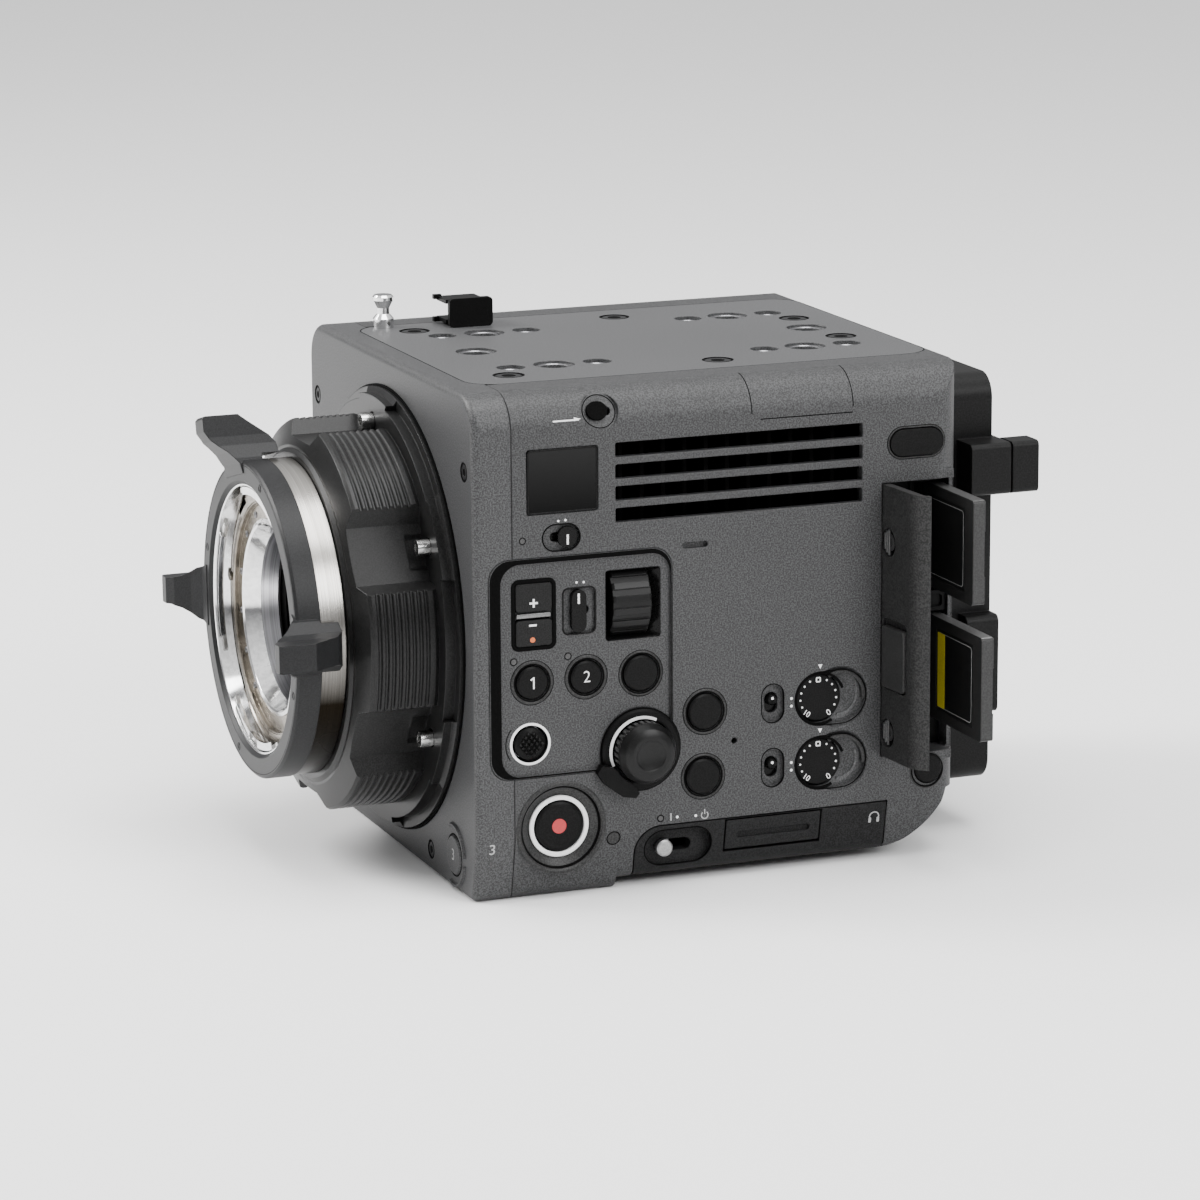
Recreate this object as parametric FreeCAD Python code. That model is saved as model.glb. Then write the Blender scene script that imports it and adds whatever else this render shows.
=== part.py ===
import FreeCAD, Part
import math
import os

V = FreeCAD.Vector

# Frame: millimetres, +Z up. The lens looks along -Y and the operator side is +X.
# Every y below is measured rearwards from the front face; saving shifts it so that the
# origin lies at the mouth of the tripod thread in the base, under the lens axis.
front_y = -60.0
thread_y = -front_y

# Body envelope
body_width = 143.4
body_height = 142.5
body_depth = 146.5
half = body_width / 2
lens_z = 70.2
wall = 2.5
seam = 0.2              # half of a parting line between two covers
run = 0.3               # clearance round a piece that moves
fit = 0.06              # radial clearance of a running shaft
shoulder_r = 10.5
skirt_z = 17.7          # below this the sides lean in
foot_half = 68.1
foot_r = 4.0
foot_end = 42.0         # the front foot ends here and the underside rises
floor_rise = 2.6
rear_corner_r = 8.0
ramp_y = body_depth - 27.5      # the underside curves up behind this
ramp_r = 25.2
ramp_top_z = 19.5

# Front frame
frame_depth = 11.0
front_wall = 4.0
front_edge_r = 2.0
mount_hole_r = 33.0
front_screws = [(-half + 7.3, body_height - 21.3), (half - 7.3, body_height - 21.3), (-32.7, 6.6), (32.7, 6.6)]
screw_r = 2.3

# Top plate
plate_half = 52.2
plate_front = 7.4
plate_thick = 8.2
plate_corner_r = 9.0
big_thread_r = 3.97     # 3/8 inch thread, at its crest
small_thread_r = 2.55   # 1/4 inch thread, at its crest
thread_x = 28.8
thread_rows = (27.0, 39.9, 52.9, body_depth - 42.4, body_depth - 29.8, body_depth - 16.7)
plate_screws = [(-40.0, 22.2), (40.0, 22.2), (-40.0, body_depth * 0.58), (40.0, body_depth * 0.58),
                (-17.0, body_depth - 13.3), (17.0, body_depth - 13.3)]

# Base
base_half = plate_half - seam
base_rail_half = base_half - 4.0
base_thick = 8.0

# Control panel, sunk into the operator side
panel_y = (4.2, 58.0)
panel_z = (35.3, 97.2)
panel_r = 6.0
panel_sink = 0.8
panel_thick = 2.2

# Button centres as (y, z) and cap radii
press = 0.6             # travel of a push button
proud = 0.7             # how far a cap stands out of its cover
button_1 = (16.8, 62.2)
button_2 = (32.7, 62.4)
display_button = (48.9, 61.9)
menu_button = (67.8, 49.3)
back_button = (67.2, 30.7)
slot_button = (body_depth - 9.9, 26.0)
record_button = (24.75, 20.3)
small_cap_r = 4.6
cap_r = 5.1
slot_cap_r = 4.2
record_cap_r = 7.0
record_dish_r = 13.2
record_floor_r = 9.8
record_deep = 2.5
front_button = (52.8, 10.2)     # (x, z) on the front face
front_cap_r = 5.7
clips_y = (body_depth - 22.5, body_depth - 6.5)
clips_z = (body_height - 25.3, body_height - 17.7)
filter_keys_y = (12.2, 22.7)
plus_z = (82.3, 90.1)
minus_z = (72.6, 79.8)

# Switches
focus_y = (20.1, 30.8)
focus_z = (98.9, 106.0)
focus_travel = 3.5
mode_y = (26.0, 35.6)
mode_z = (74.8, 87.8)
mode_travel = 2.5
auto_z = (49.6, 31.0)
auto_pill = (3.4, 5.6)          # half width and half height of the recess
auto_slot = (2.0, 3.0)          # half width and half height of the opening
auto_travel = 2.0
power_y = (50.0, 70.3)
power_z = (5.6, 16.2)
power_knob_y = 55.8
power_travel = 7.0
lock_y = 37.4
lock_angle = 27.0
lock_r = 5.4
lock_travel = 2.0

# Dials
filter_dial = (46.1, 81.9)
filter_dial_r = 12.0
filter_dial_width = 11.3
filter_window_y = (38.6, 54.9)
filter_window_z = (71.9, 91.8)
filter_dial_proud = 2.0
dial_shaft_r = 2.0
menu_dial = (48.6, 40.3)
collar_r = 11.6
menu_knob_r = 8.6
menu_knob_proud = 8.0
level_y = body_depth - 43.6
auto_y = level_y - 14.5
level_z = (49.6, 31.0)
level_r = 6.9
level_recess_r = 7.7
level_recess_len = 6.4
level_deep = 3.6
level_face = 1.3        # the dial's face lies this far inside the cover

# Joystick
stick = (16.1, 44.9)
stick_cap_r = 4.6
stick_ring_r = 6.0
pivot_x = half - 6.2

# Badge recess
badge_y = (15.4, 36.4)
badge_z = (body_height - 33.3, body_height - 15.1)

# Vents
vent_y = (41.4, body_depth - 30.9)
vent_top = body_height - 14.9
vent_pitch = 6.1
vent_high = 4.1
vent_z = [(vent_top - vent_high - i * vent_pitch, vent_top - i * vent_pitch) for i in range(4)]

# Media bay
bay_y = (body_depth - 24.9, body_depth - wall)
bay_z = (30.8, 109.9)
bay_depth = 9.0
bay_rib_z = (70.6, 76.6)        # between the two card mouths
bay_rib_deep = 5.0
mouth_proud = 1.2
door_thick = 2.5
door_end = bay_y[1] + 1.0
door_lip = 1.0          # the free edge of the door turns in by this much
door_open = 85.0
hinge_x = half - 1.1
hinge_y = bay_y[0] + 1.3
hinge_pin_r = 0.6
card_long = 38.5
card_wide = 29.8
card_thick = 3.8
card_front = bay_y[1] - 4.5
card_z = (77.6, 39.8)
card_out = (21.8, 28.0)
card_in = 12.0          # how far a stored card lies inside the side face

# Lower cover and SD door
lower_y = (47.0, body_depth - 22.7)
lower_corner_r = 7.5    # of its upper front corner
sd_y = (74.2, 103.5)
sd_z = (7.6, 17.2)

# Lens side, y stations from the front face
flange_y = -36.4
barrel_r = 40.0
bore_r = barrel_r - 13.0
throat_r = bore_r - 0.5
flange_r = barrel_r - 1.8
flange_thick = 4.0
ring_front = -42.3
ring_join = -35.2
ring_rear = -28.1
ring_r = barrel_r + 5.4
ring_open_r = barrel_r - 1.4
lobe_y = (-24.4, -4.5)
lobe_r = barrel_r + 16.0
neck_r = barrel_r + 9.5
lobe_count = 6
facet_angle = 30.0      # of the first plain facet, from the operator side upwards
facet_half = 12.0
facet_at = barrel_r + 10.5      # distance of the plain facets from the lens axis
adapter_screw_r = lobe_r - 1.6
bell_r = lobe_r + 7.5
grooves = 8
sensor_y = 15.0

# Rear side
rear_half = 50.0
rear_z = (14.0, body_height - plate_thick)
rear_depth = body_depth + 19.5
battery_half = 44.0
battery_z = (26.0, body_height - 12.5)
guard_x = 60.0
lug_z = (36.0, 64.8)
guard_z = (101.0, 116.0)
guard_end = rear_depth + 1.4
release_end = rear_depth + 10.2
release_travel = 4.0


def box(x0, x1, y0, y1, z0, z1):
    return Part.makeBox(x1 - x0, y1 - y0, z1 - z0, V(x0, y0, z0))


def disc_x(y, z, r, x0, x1):
    return Part.makeCylinder(r, x1 - x0, V(x0, y, z), V(1, 0, 0))


def disc_y(x, z, r, y0, y1):
    return Part.makeCylinder(r, y1 - y0, V(x, y0, z), V(0, 1, 0))


def disc_z(x, y, r, z0, z1):
    return Part.makeCylinder(r, z1 - z0, V(x, y, z0), V(0, 0, 1))


def on_axis(axis, along, a, b):
    return {"x": V(along, a, b), "y": V(a, along, b), "z": V(a, b, along)}[axis]


def slab(axis, lo, hi, a0, a1, b0, b1, r):
    """Prism along one axis whose section is a rectangle with round corners."""
    centres = [(a1 - r, b1 - r, 0), (a0 + r, b1 - r, 90), (a0 + r, b0 + r, 180), (a1 - r, b0 + r, 270)]
    ends, arcs = [], []
    for ca, cb, turn in centres:
        pts = [on_axis(axis, lo, ca + r * math.cos(math.radians(turn + t)),
                       cb + r * math.sin(math.radians(turn + t))) for t in (0, 45, 90)]
        arcs.append(Part.Arc(*pts).toShape())
        ends.append((pts[0], pts[2]))
    edges = []
    for i in range(4):
        edges.append(arcs[i])
        start, stop = ends[i][1], ends[(i + 1) % 4][0]
        if start.distanceToPoint(stop) > 1e-6:
            edges.append(Part.LineSegment(start, stop).toShape())
    face = Part.Face(Part.Wire(edges))
    return face.extrude(on_axis(axis, hi - lo, 0, 0))


def pill(axis, lo, hi, a0, a1, b0, b1):
    return slab(axis, lo, hi, a0, a1, b0, b1, min(a1 - a0, b1 - b0) / 2 - 1e-4)


def prism(axis, lo, hi, points):
    wire = Part.makePolygon([on_axis(axis, lo, a, b) for a, b in points + points[:1]])
    return Part.Face(wire).extrude(on_axis(axis, hi - lo, 0, 0))


def turned(axis, a, b, profile):
    """Solid of revolution; the profile lists (radius, place along the axis)."""
    if axis == "x":
        pts = [V(s, a, b + r) for r, s in profile]
    elif axis == "y":
        pts = [V(a + r, s, b) for r, s in profile]
    else:
        pts = [V(a + r, b, s) for r, s in profile]
    face = Part.Face(Part.makePolygon(pts + pts[:1]))
    return face.revolve(on_axis(axis, 0, a, b), on_axis(axis, 1, 0, 0), 360)


def ring_y(r_in, r_out, y0, y1, x=0.0, z=lens_z):
    return turned("y", x, z, [(r_in, y0), (r_out, y0), (r_out, y1), (r_in, y1)])


def turn_about_lens(shape, angle):
    """Copy turned about the lens axis, from the operator side upwards."""
    copy = shape.copy()
    copy.rotate(V(0, 0, lens_z), V(0, 1, 0), -angle)
    return copy


def fused(shapes):
    return shapes[0].multiFuse(shapes[1:]).removeSplitter() if len(shapes) > 1 else shapes[0]


def bore(shape, tools):
    return shape.cut(Part.makeCompound(tools))


def solids(shape):
    """The shape's solids, largest first, without slivers."""
    return sorted([s for s in shape.Solids if s.Volume > 0.01], key=lambda s: -s.Volume)


parts = {}


def add(name, shape):
    found = solids(shape)
    parts[name] = found[0] if len(found) == 1 else Part.makeCompound(found)


# Covers of the body

def side_x(z, inset):
    lean = (half - foot_half) / skirt_z
    return half - inset - max(0.0, skirt_z - z) * lean


def section(inset, floor, y0, y1):
    """Body section from the front, extruded from y0 to y1."""
    top, r, low = body_height - inset, shoulder_r - inset, floor + inset
    h, xb = half - inset, side_x(low + foot_r, inset)
    c45 = math.sqrt(0.5)

    def arc(cx, cz, rad, a0, sign):
        pts = [V(sign * (cx + rad * math.cos(math.radians(a))), y0, cz + rad * math.sin(math.radians(a)))
               for a in (a0, a0 + 45, a0 + 90)]
        return pts if sign > 0 else pts[::-1]

    right_low = arc(xb - foot_r, low + foot_r, foot_r, -90, 1)
    right_top = arc(h - r, top - r, r, 0, 1)
    left_top = arc(h - r, top - r, r, 0, -1)
    left_low = arc(xb - foot_r, low + foot_r, foot_r, -90, -1)
    knee_right, knee_left = V(h, y0, skirt_z), V(-h, y0, skirt_z)
    line = lambda p, q: Part.LineSegment(p, q).toShape()
    bend = lambda pts: Part.Arc(*pts).toShape()
    edges = [bend(right_low), line(right_low[2], knee_right), line(knee_right, right_top[0]),
             bend(right_top), line(right_top[2], left_top[0]), bend(left_top),
             line(left_top[2], knee_left), line(knee_left, left_low[0]), bend(left_low),
             line(left_low[2], right_low[0])]
    return Part.Face(Part.Wire(edges)).extrude(V(0, y1 - y0, 0))


def under_ramp(inset):
    """What the underside's curve leaves out below the rear."""
    below = box(-half - 5, half + 5, ramp_y, body_depth + 5, -2, ramp_top_z + inset)
    return below.cut(disc_x(ramp_y, floor_rise + ramp_r, ramp_r - inset, -half - 6, half + 6))


def body_block(inset):
    """The body's outside, or with an inset the space inside the covers."""
    block = section(inset, 0.0, frame_depth - 1.0, foot_end).fuse(
        section(inset, floor_rise, foot_end, body_depth + 1.0))
    plan = slab("z", -1, body_height + 1, -half + inset, half - inset, -30, body_depth - inset,
                rear_corner_r - inset)
    return block.common(plan).cut(under_ramp(inset))


outer_body = body_block(0.0)
inner_body = body_block(wall)
shell = outer_body.cut(inner_body)

plate_pocket = slab("z", body_height - plate_thick - 0.1, body_height + 1, -plate_half - seam,
                    plate_half + seam, plate_front - seam, body_depth + 0.1, plate_corner_r)
panel_pocket = slab("x", half - 8.0, half + 2, panel_y[0] - seam, panel_y[1] + seam,
                    panel_z[0] - seam, panel_z[1] + seam, panel_r)


def side_cover():
    """Operator side cover blank: shell outboard of the seams, with the rear corner bits."""
    reach = box(plate_half + seam, half + 1, frame_depth + seam, body_depth + 1, -1, body_height + 1)
    corner = box(plate_half - plate_corner_r, half + 1, body_depth - plate_corner_r - 1,
                 body_depth + 1, body_height - wall, body_height + 1)
    return shell.common(reach.fuse(corner)).cut(plate_pocket)


def slider_slot(y0, y1, z0, z1, x0, x1):
    return pill("x", x0, x1, y0, y1, z0, z1)


def button_hole(centre, r, depth=10.0):
    return disc_x(centre[0], centre[1], r + run, half - depth, half + 2)


bay_floor_x = half - bay_depth
card_slot_y = (card_front - 4.5, bay_y[1] - 0.4)
panel_face = half - panel_sink
record_inner = half - record_deep - wall


def lower_block(x0, x1, grow):
    """Outline of the lower cover: a strip whose upper front corner is round."""
    y0, z1, r = lower_y[0] - grow, skirt_z + grow, lower_corner_r + grow
    strip = box(x0, x1, y0, lower_y[1] + grow, -1, z1)
    corner = box(x0 - 1, x1 + 1, y0 - 1, y0 + r, z1 - r, z1 + 1)
    return strip.cut(corner.cut(disc_x(y0 + r, z1 - r, r, x0 - 2, x1 + 2)))


def operator_panel():
    cover = side_cover()
    lower = lower_block(plate_half, half + 2, seam)
    tray = box(bay_floor_x - wall, half - 0.5, bay_y[0] - wall, bay_y[1], bay_z[0] - wall, bay_z[1] + wall)
    pads = [box(half - 6.0, half - 1.0, level_y - 9.5, level_y + 16.0, z - 9.0, z + 9.0) for z in level_z]
    pads.append(disc_x(*record_button, record_dish_r + 1.0, record_inner, half - 1.0).common(outer_body).common(
        box(0, half, frame_depth + seam, lower_y[0], -1, body_height)))
    cover = cover.cut(lower).fuse([tray] + pads)
    tools = [panel_pocket, disc_x(menu_dial[0], menu_dial[1], collar_r + seam, half - 8, half + 2)]
    tools.append(slab("x", bay_floor_x - wall - 1, half + 1, bay_y[0], bay_y[1], bay_z[0], bay_z[1], 1.0))
    tools.append(box(half - door_thick - 0.2, half + 1, bay_y[0], door_end + seam, bay_z[0], bay_z[1]))
    tools.append(box(half - door_thick - door_lip - run, half + 1, bay_y[1] - 2, door_end + seam, bay_z[0], bay_z[1]))
    tools.append(disc_z(hinge_x, hinge_y, hinge_pin_r + fit, bay_z[0] - 1.2, bay_z[1] + 1.2))
    for z0, z1 in vent_z:
        tools.append(slab("x", half - 6, half + 1, vent_y[0], vent_y[1], z0, z1, 0.6))
    tools += [button_hole(menu_button, cap_r), button_hole(back_button, cap_r),
              button_hole(slot_button, slot_cap_r, wall + press + 0.5), button_hole(record_button, record_cap_r)]
    tools.append(turned("x", record_button[0], record_button[1],
                        [(0, half - record_deep), (record_floor_r, half - record_deep), (record_dish_r, half),
                         (record_dish_r, half + 1), (0, half + 1)]))
    tools.append(pill("x", half - 10, half + 1, clips_y[0] - run, clips_y[1] + run,
                      clips_z[0] - run, clips_z[1] + run))
    tools += [pill("x", half - 1.2, half + 1, focus_y[0], focus_y[1], focus_z[0], focus_z[1]),
              slider_slot(focus_y[0] + 2.4, focus_y[1] - 2.4, focus_z[0] + 2.2, focus_z[1] - 2.2,
                          half - 6, half)]
    for z in auto_z:
        tools.append(pill("x", half - 1.4, half + 1, auto_y - auto_pill[0], auto_y + auto_pill[0],
                          z - auto_pill[1], z + auto_pill[1]))
        tools.append(slider_slot(auto_y - auto_slot[0], auto_y + auto_slot[0], z - auto_slot[1], z + auto_slot[1],
                                 half - 6, half))
    for z in level_z:
        tools.append(pill("x", half - 1.7, half + 1, level_y - level_recess_r,
                          level_y + level_recess_len + level_recess_r, z - level_recess_r, z + level_recess_r))
        tools.append(disc_x(level_y, z, level_r + run, half - level_deep, half + 1))
        tools.append(Part.makeSphere(13.0, V(half + 9.4, level_y + level_recess_len - 0.5, z)))
        tools.append(disc_x(level_y, z, dial_shaft_r + fit, half - 8, half))
    tools.append(slab("x", half - 0.6, half + 1, *badge_y, *badge_z, 0.8))
    tools.append(disc_x(76.7, 40.0, 0.9, half - 4, half + 1))
    tools.append(pill("x", half - 1.4, half + 1, 61.1, 68.8, 96.2, 98.0))
    tools.append(lock_dish())
    return bore(cover, tools)


def bay_liner():
    """Floor of the media bay with the two card mouths and the rib between them."""
    floor = slab("x", bay_floor_x - wall, bay_floor_x, bay_y[0] + 0.02, bay_y[1] - 0.02, bay_z[0] + 0.02, bay_z[1] - 0.02, 1.0)
    mouths = [box(bay_floor_x - 1, bay_floor_x + mouth_proud, card_slot_y[0] - 1.2, bay_y[1] - 0.02, z - 1.5,
                  z + card_wide + 1.5) for z in card_z]
    rib = box(bay_floor_x - 1, half - bay_rib_deep, card_slot_y[0] - 2.0, bay_y[1] - 0.02, *bay_rib_z)
    tools = [box(bay_floor_x - wall - 1, bay_floor_x + mouth_proud + 1, card_slot_y[0], card_slot_y[1],
                 z - run, z + card_wide + run) for z in card_z]
    tools.append(slab("x", half - bay_rib_deep - 1.0, half, card_slot_y[0] - 0.8, card_slot_y[1] - 0.8,
                      bay_rib_z[0] + 1.2, bay_rib_z[1] - 1.2, 1.0))
    return bore(fused([floor] + mouths + [rib]), tools)


def lock_place(shape):
    """Turn a piece made on the side face up onto the shoulder."""
    shape.rotate(V(half - shoulder_r, 0, body_height - shoulder_r), V(0, 1, 0), -lock_angle)
    return shape


lock_z = body_height - shoulder_r


def lock_dish():
    dish = disc_x(lock_y, lock_z, lock_r, half - 1.2, half + 1)
    slot = pill("x", half - 6, half, lock_y - 3.4, lock_y + 3.4, lock_z - 1.3, lock_z + 1.3)
    return lock_place(dish.fuse(slot))


def front_frame():
    frame = section(0.0, 0.0, 0.0, frame_depth)
    rim = [e for e in frame.Edges if e.BoundBox.YMax < 0.01]
    frame = frame.makeFillet(front_edge_r, rim)
    inner = section(3.0, 0.0, front_wall, frame_depth + 1).common(
        box(-half + 3, half - 3, 0, 20, 3, body_height - plate_thick - 2.5))
    tools = [inner, plate_pocket, panel_pocket, disc_y(0, lens_z, mount_hole_r, -1, front_wall + 1)]
    for x, z in front_screws:
        tools.append(disc_y(x, z, screw_r + 0.25, -1, 1.6))
    tools.append(disc_y(front_button[0], front_button[1], front_cap_r + run, -1, frame_depth))
    frame = bore(frame, tools)
    guard = turned("y", front_button[0], front_button[1], [(8.0, 0.2), (8.3, -0.7), (9.0, -0.7), (9.3, 0.2)])
    gap = box(front_button[0] - 12, front_button[0] + 12, -2, 1, front_button[1] - 1.2, front_button[1] + 1.2)
    half_plane = box(front_button[0] - 12, front_button[0] - 3.0, -2, 1, -5, 30)
    keep = section(0.3, 0.0, -1, 1)
    return frame.fuse(guard.cut(gap).cut(half_plane).common(keep))


def control_panel():
    y0, y1, z0, z1 = panel_y[0], panel_y[1], panel_z[0], panel_z[1]
    back = panel_face - panel_thick
    plate = slab("x", back, half, y0, y1, z0, z1, panel_r - seam)
    sink = slab("x", panel_face, half + 1, y0 + 3.4, y1 - 0.5, z0 + 0.5, z1 - 1.6, panel_r - 1.0)
    slope = Part.makeLoft([slab("x", panel_face, half, y0 + 3.2, y1 - 0.4, z0 + 0.4, z1 - 1.4,
                                panel_r - 1.0).Faces[-1].OuterWire,
                           slab("x", half, half + 1, y0 + 0.2, y1 - 0.2, z0 + 0.2, z1 - 0.2,
                                panel_r - 0.5).Faces[-1].OuterWire], True)
    keeper = disc_x(stick[0], stick[1], 9.2, pivot_x - 3.0, back + 0.5)
    ear_x = panel_face + filter_dial_proud - filter_dial_r
    ears = [box(ear_x - 4.0, back + 0.5, y, y + 1.5, filter_dial[1] - 5, filter_dial[1] + 5)
            for y in (filter_window_y[0] - 1.6, filter_window_y[1] + 0.1)]
    plate = fused([plate, keeper] + ears)
    tools = [sink, slope] if slope.isValid() else [sink]
    tools.append(disc_x(menu_dial[0], menu_dial[1], collar_r + seam, half - 10, half + 1))
    tools.append(slab("x", back - 1, half + 1, filter_window_y[0], filter_window_y[1],
                      filter_window_z[0], filter_window_z[1], 0.8))
    for centre, r in ((button_1, small_cap_r), (button_2, small_cap_r), (display_button, cap_r)):
        tools.append(button_hole(centre, r))
    tools.append(slab("x", panel_face - 1.0, half + 1, filter_keys_y[0] - 0.8, filter_keys_y[1] + 0.8,
                      minus_z[0] - 0.8, plus_z[1] + 0.8, 1.6))
    for z0k, z1k in (plus_z, minus_z):
        tools.append(slab("x", back - 1, half + 1, filter_keys_y[0] - run, filter_keys_y[1] + run,
                          z0k - run, z1k + run, 1.2))
    tools.append(slab("x", panel_face - 0.8, half + 1, mode_y[0], mode_y[1], mode_z[0], mode_z[1], 1.6))
    tools.append(slider_slot(mode_y[0] + 2.3, mode_y[1] - 1.7, 80.0, 82.8, back - 1, half))
    tools.append(disc_x(stick[0], stick[1], stick_cap_r + 0.9, back - 1, half + 1))
    tools.append(disc_x(stick[0], stick[1], 7.9, pivot_x - 4.0, back))
    tools.append(disc_z(pivot_x, stick[1] - stick[1] + stick[0], 0.8 + fit, stick[1] - 12, stick[1] + 12))
    tools.append(disc_y(ear_x, filter_dial[1], dial_shaft_r + fit, 30, 60))
    plate = bore(plate, tools)
    return plate.common(box(40, half, 0, 80, 20, 110))


def lower_cover():
    reach = lower_block(plate_half + seam, half + 1, -seam)
    cover = shell.common(reach)
    x = side_x(11.0, 0.0)
    backing = box(x - 6.0, x - 1.0, power_y[0] - 2, power_y[1] + 2, power_z[0] - 1.5, power_z[1] + 1.0)
    cover = cover.fuse(backing.common(outer_body).common(reach))
    tools = [pill("x", x - 2.2, half + 2, power_y[0], power_y[1], power_z[0], power_z[1]),
             slider_slot(power_knob_y - 2.0, power_knob_y + power_travel + 2.0, 9.2, 12.6, x - 9, x),
             box(plate_half + 8, half + 2, sd_y[0] - seam, sd_y[1] + seam, sd_z[0] - seam, sd_z[1] + seam),
             disc_y(*sd_hinge(), 0.5 + fit, sd_y[0] - 1.0, sd_y[1] + 1.0)]
    return bore(cover, tools)


grille_y, grille_z, grille_r = 79.0, 112.0, 17.0
video_sockets = [(22.0, 30.0), (40.0, 30.0), (58.0, 30.0)]
audio_sockets = [(88.0, 32.0), (116.0, 32.0)]


def outer_side_panel():
    """Far side cover: outlet grille with the fan's hub, and the socket holes."""
    mirror = side_cover().mirror(V(0, 0, 0), V(1, 0, 0))
    tools = []
    for r0, r1 in ((4.0, 7.6), (8.8, 12.4), (13.6, grille_r)):
        groove = turned("x", grille_y, grille_z, [(r0, -half - 1), (r1, -half - 1), (r1, -half + 4), (r0, -half + 4)])
        spokes = [box(-half - 2, -half + 5, grille_y - 1.2, grille_y + 1.2, grille_z - 20, grille_z + 20),
                  box(-half - 2, -half + 5, grille_y - 20, grille_y + 20, grille_z - 1.2, grille_z + 1.2)]
        tools.append(groove.cut(Part.makeCompound(spokes)))
    for y, z in video_sockets:
        tools.append(disc_x(y, z, 6.6, -half - 1, -half + 6))
    for y, z in audio_sockets:
        tools.append(disc_x(y, z, 11.3, -half - 1, -half + 6))
    panel = bore(mirror, tools)
    pin = disc_x(grille_y, grille_z, 1.5, -half + 1, -half + 12)
    return fused([panel, pin])


def top_plate():
    plate = slab("z", body_height - plate_thick, body_height, -plate_half, plate_half, plate_front,
                 body_depth - seam, plate_corner_r - seam)
    tools = []
    for i, y in enumerate(thread_rows):
        for x in (-thread_x, thread_x):
            big = i in (1, 4)
            tools.append(disc_z(x, y, big_thread_r if big else small_thread_r, body_height - plate_thick - 1,
                                body_height + 1))
            tools.append(disc_z(x, y, 5.9 if big else 4.1, body_height - (0.8 if big else 1.2), body_height + 1))
    for y in (thread_rows[0], thread_rows[5]):
        tools.append(disc_z(0, y, big_thread_r, body_height - plate_thick - 1, body_height + 1))
        tools.append(disc_z(0, y, 5.9, body_height - 0.8, body_height + 1))
    for x, y in plate_screws:
        tools.append(disc_z(x, y, 4.4, body_height - 3.2, body_height + 1))
    return bore(plate, tools)


def base_plate():
    y0, y1 = frame_depth + 0.3, body_depth - 0.1
    plate = box(-base_half, base_half, y0, y1, 0, ramp_top_z + 2.7).cut(under_ramp(0.2))
    tools = [box(-base_half - 1, base_half + 1, y0 - 1, ramp_y, base_thick, ramp_top_z + 5),
             disc_x(ramp_y, floor_rise + ramp_r, ramp_r + floor_rise - base_thick, -base_half - 1, base_half + 1)]
    tools += [box(x0, x1, foot_end + 4, body_depth + 5, -1, floor_rise)
              for x0, x1 in ((-base_half - 1, -base_rail_half), (base_rail_half, base_half + 1))]
    tools.append(disc_z(0, thread_y, big_thread_r, -1, base_thick + 1))
    tools.append(disc_z(0, thread_y - 25.8, big_thread_r, -1, base_thick + 1))
    for x in (-thread_x, thread_x):
        for y in (thread_y - 25.8, thread_y + 25.8):
            tools.append(disc_z(x, y, small_thread_r, -1, base_thick + 1))
    return bore(plate, tools)


def screw_heads():
    """Cap screws of the front frame, the top plate and the lens adapter, with their hexagon sockets."""
    heads = []
    for x, z in front_screws:
        hexagon = prism("y", -1, 1.0, [(x + 1.2 * math.cos(math.radians(a)), z + 1.2 * math.sin(math.radians(a)))
                                       for a in range(0, 360, 60)])
        heads.append(disc_y(x, z, screw_r, 0.2, 1.6).cut(hexagon))
    for x, y in plate_screws:
        top = body_height - 0.9
        hexagon = prism("z", top - 1.2, top + 1, [(x + 1.7 * math.cos(math.radians(a)),
                                                   y + 1.7 * math.sin(math.radians(a))) for a in range(0, 360, 60)])
        heads.append(disc_z(x, y, 4.1, body_height - 3.2, top).cut(hexagon))
    return Part.makeCompound(heads + adapter_screws())


# Inside

def chassis():
    top = body_height - plate_thick - 0.1
    plate = box(-half + 13.7, half - 13.7, 12.0, 15.0, base_thick, top - 0.2)
    floor = box(-50, 36, 12.0, ramp_y - 1.0, base_thick, base_thick + 2.5)
    rails = [box(x, x + 6, 12.0, body_depth - wall - 0.1, top - 5.9, top) for x in (-50, 44)]
    guides = [box(x, x + 1.6, 5.2, 12.5, 15.0, 90.0) for x in (-25.2, 23.6)]
    frame = fused([plate, floor] + rails + guides)
    light = box(-21, 21, 10, 16, lens_z - 15.5, lens_z + 15.5)
    return frame.cut(light).cut(disc_y(front_button[0], front_button[1], 4, 10, 20))


def filter_plate():
    frame = box(-23.3, 23.3, 6.0, 9.4, lens_z - 16.5, lens_z + 16.5)
    lip = box(-19.5, 19.5, 5, 10, lens_z - 13.0, lens_z + 13.0)
    return frame.cut(lip).fuse(box(-19.5, 19.5, 7.0, 8.4, lens_z - 13.0, lens_z + 13.0))


def sensor_carrier():
    plate = box(-32, 32, 18.4, 20.4, lens_z - 26, lens_z + 26)
    posts = [box(x - 3, x + 3, 15.0, 18.4, z - 3, z + 3) for x in (-28, 28) for z in (lens_z - 22, lens_z + 22)]
    return fused([plate] + posts)


def heat_sink():
    x0, x1 = -half + 16.7, half - 9.7
    top = body_height - plate_thick - 6.2
    plate = box(x0, x1, vent_y[0] + 2.6, vent_y[1] - 1.6, top - 2.8, top)
    fins = [box(x0, x1, y, y + 1.2, top - 24.6, top - 2.6) for y in [vent_y[0] + 4.6 + 6.4 * i for i in range(11)]]
    return fused([plate] + fins)


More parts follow.
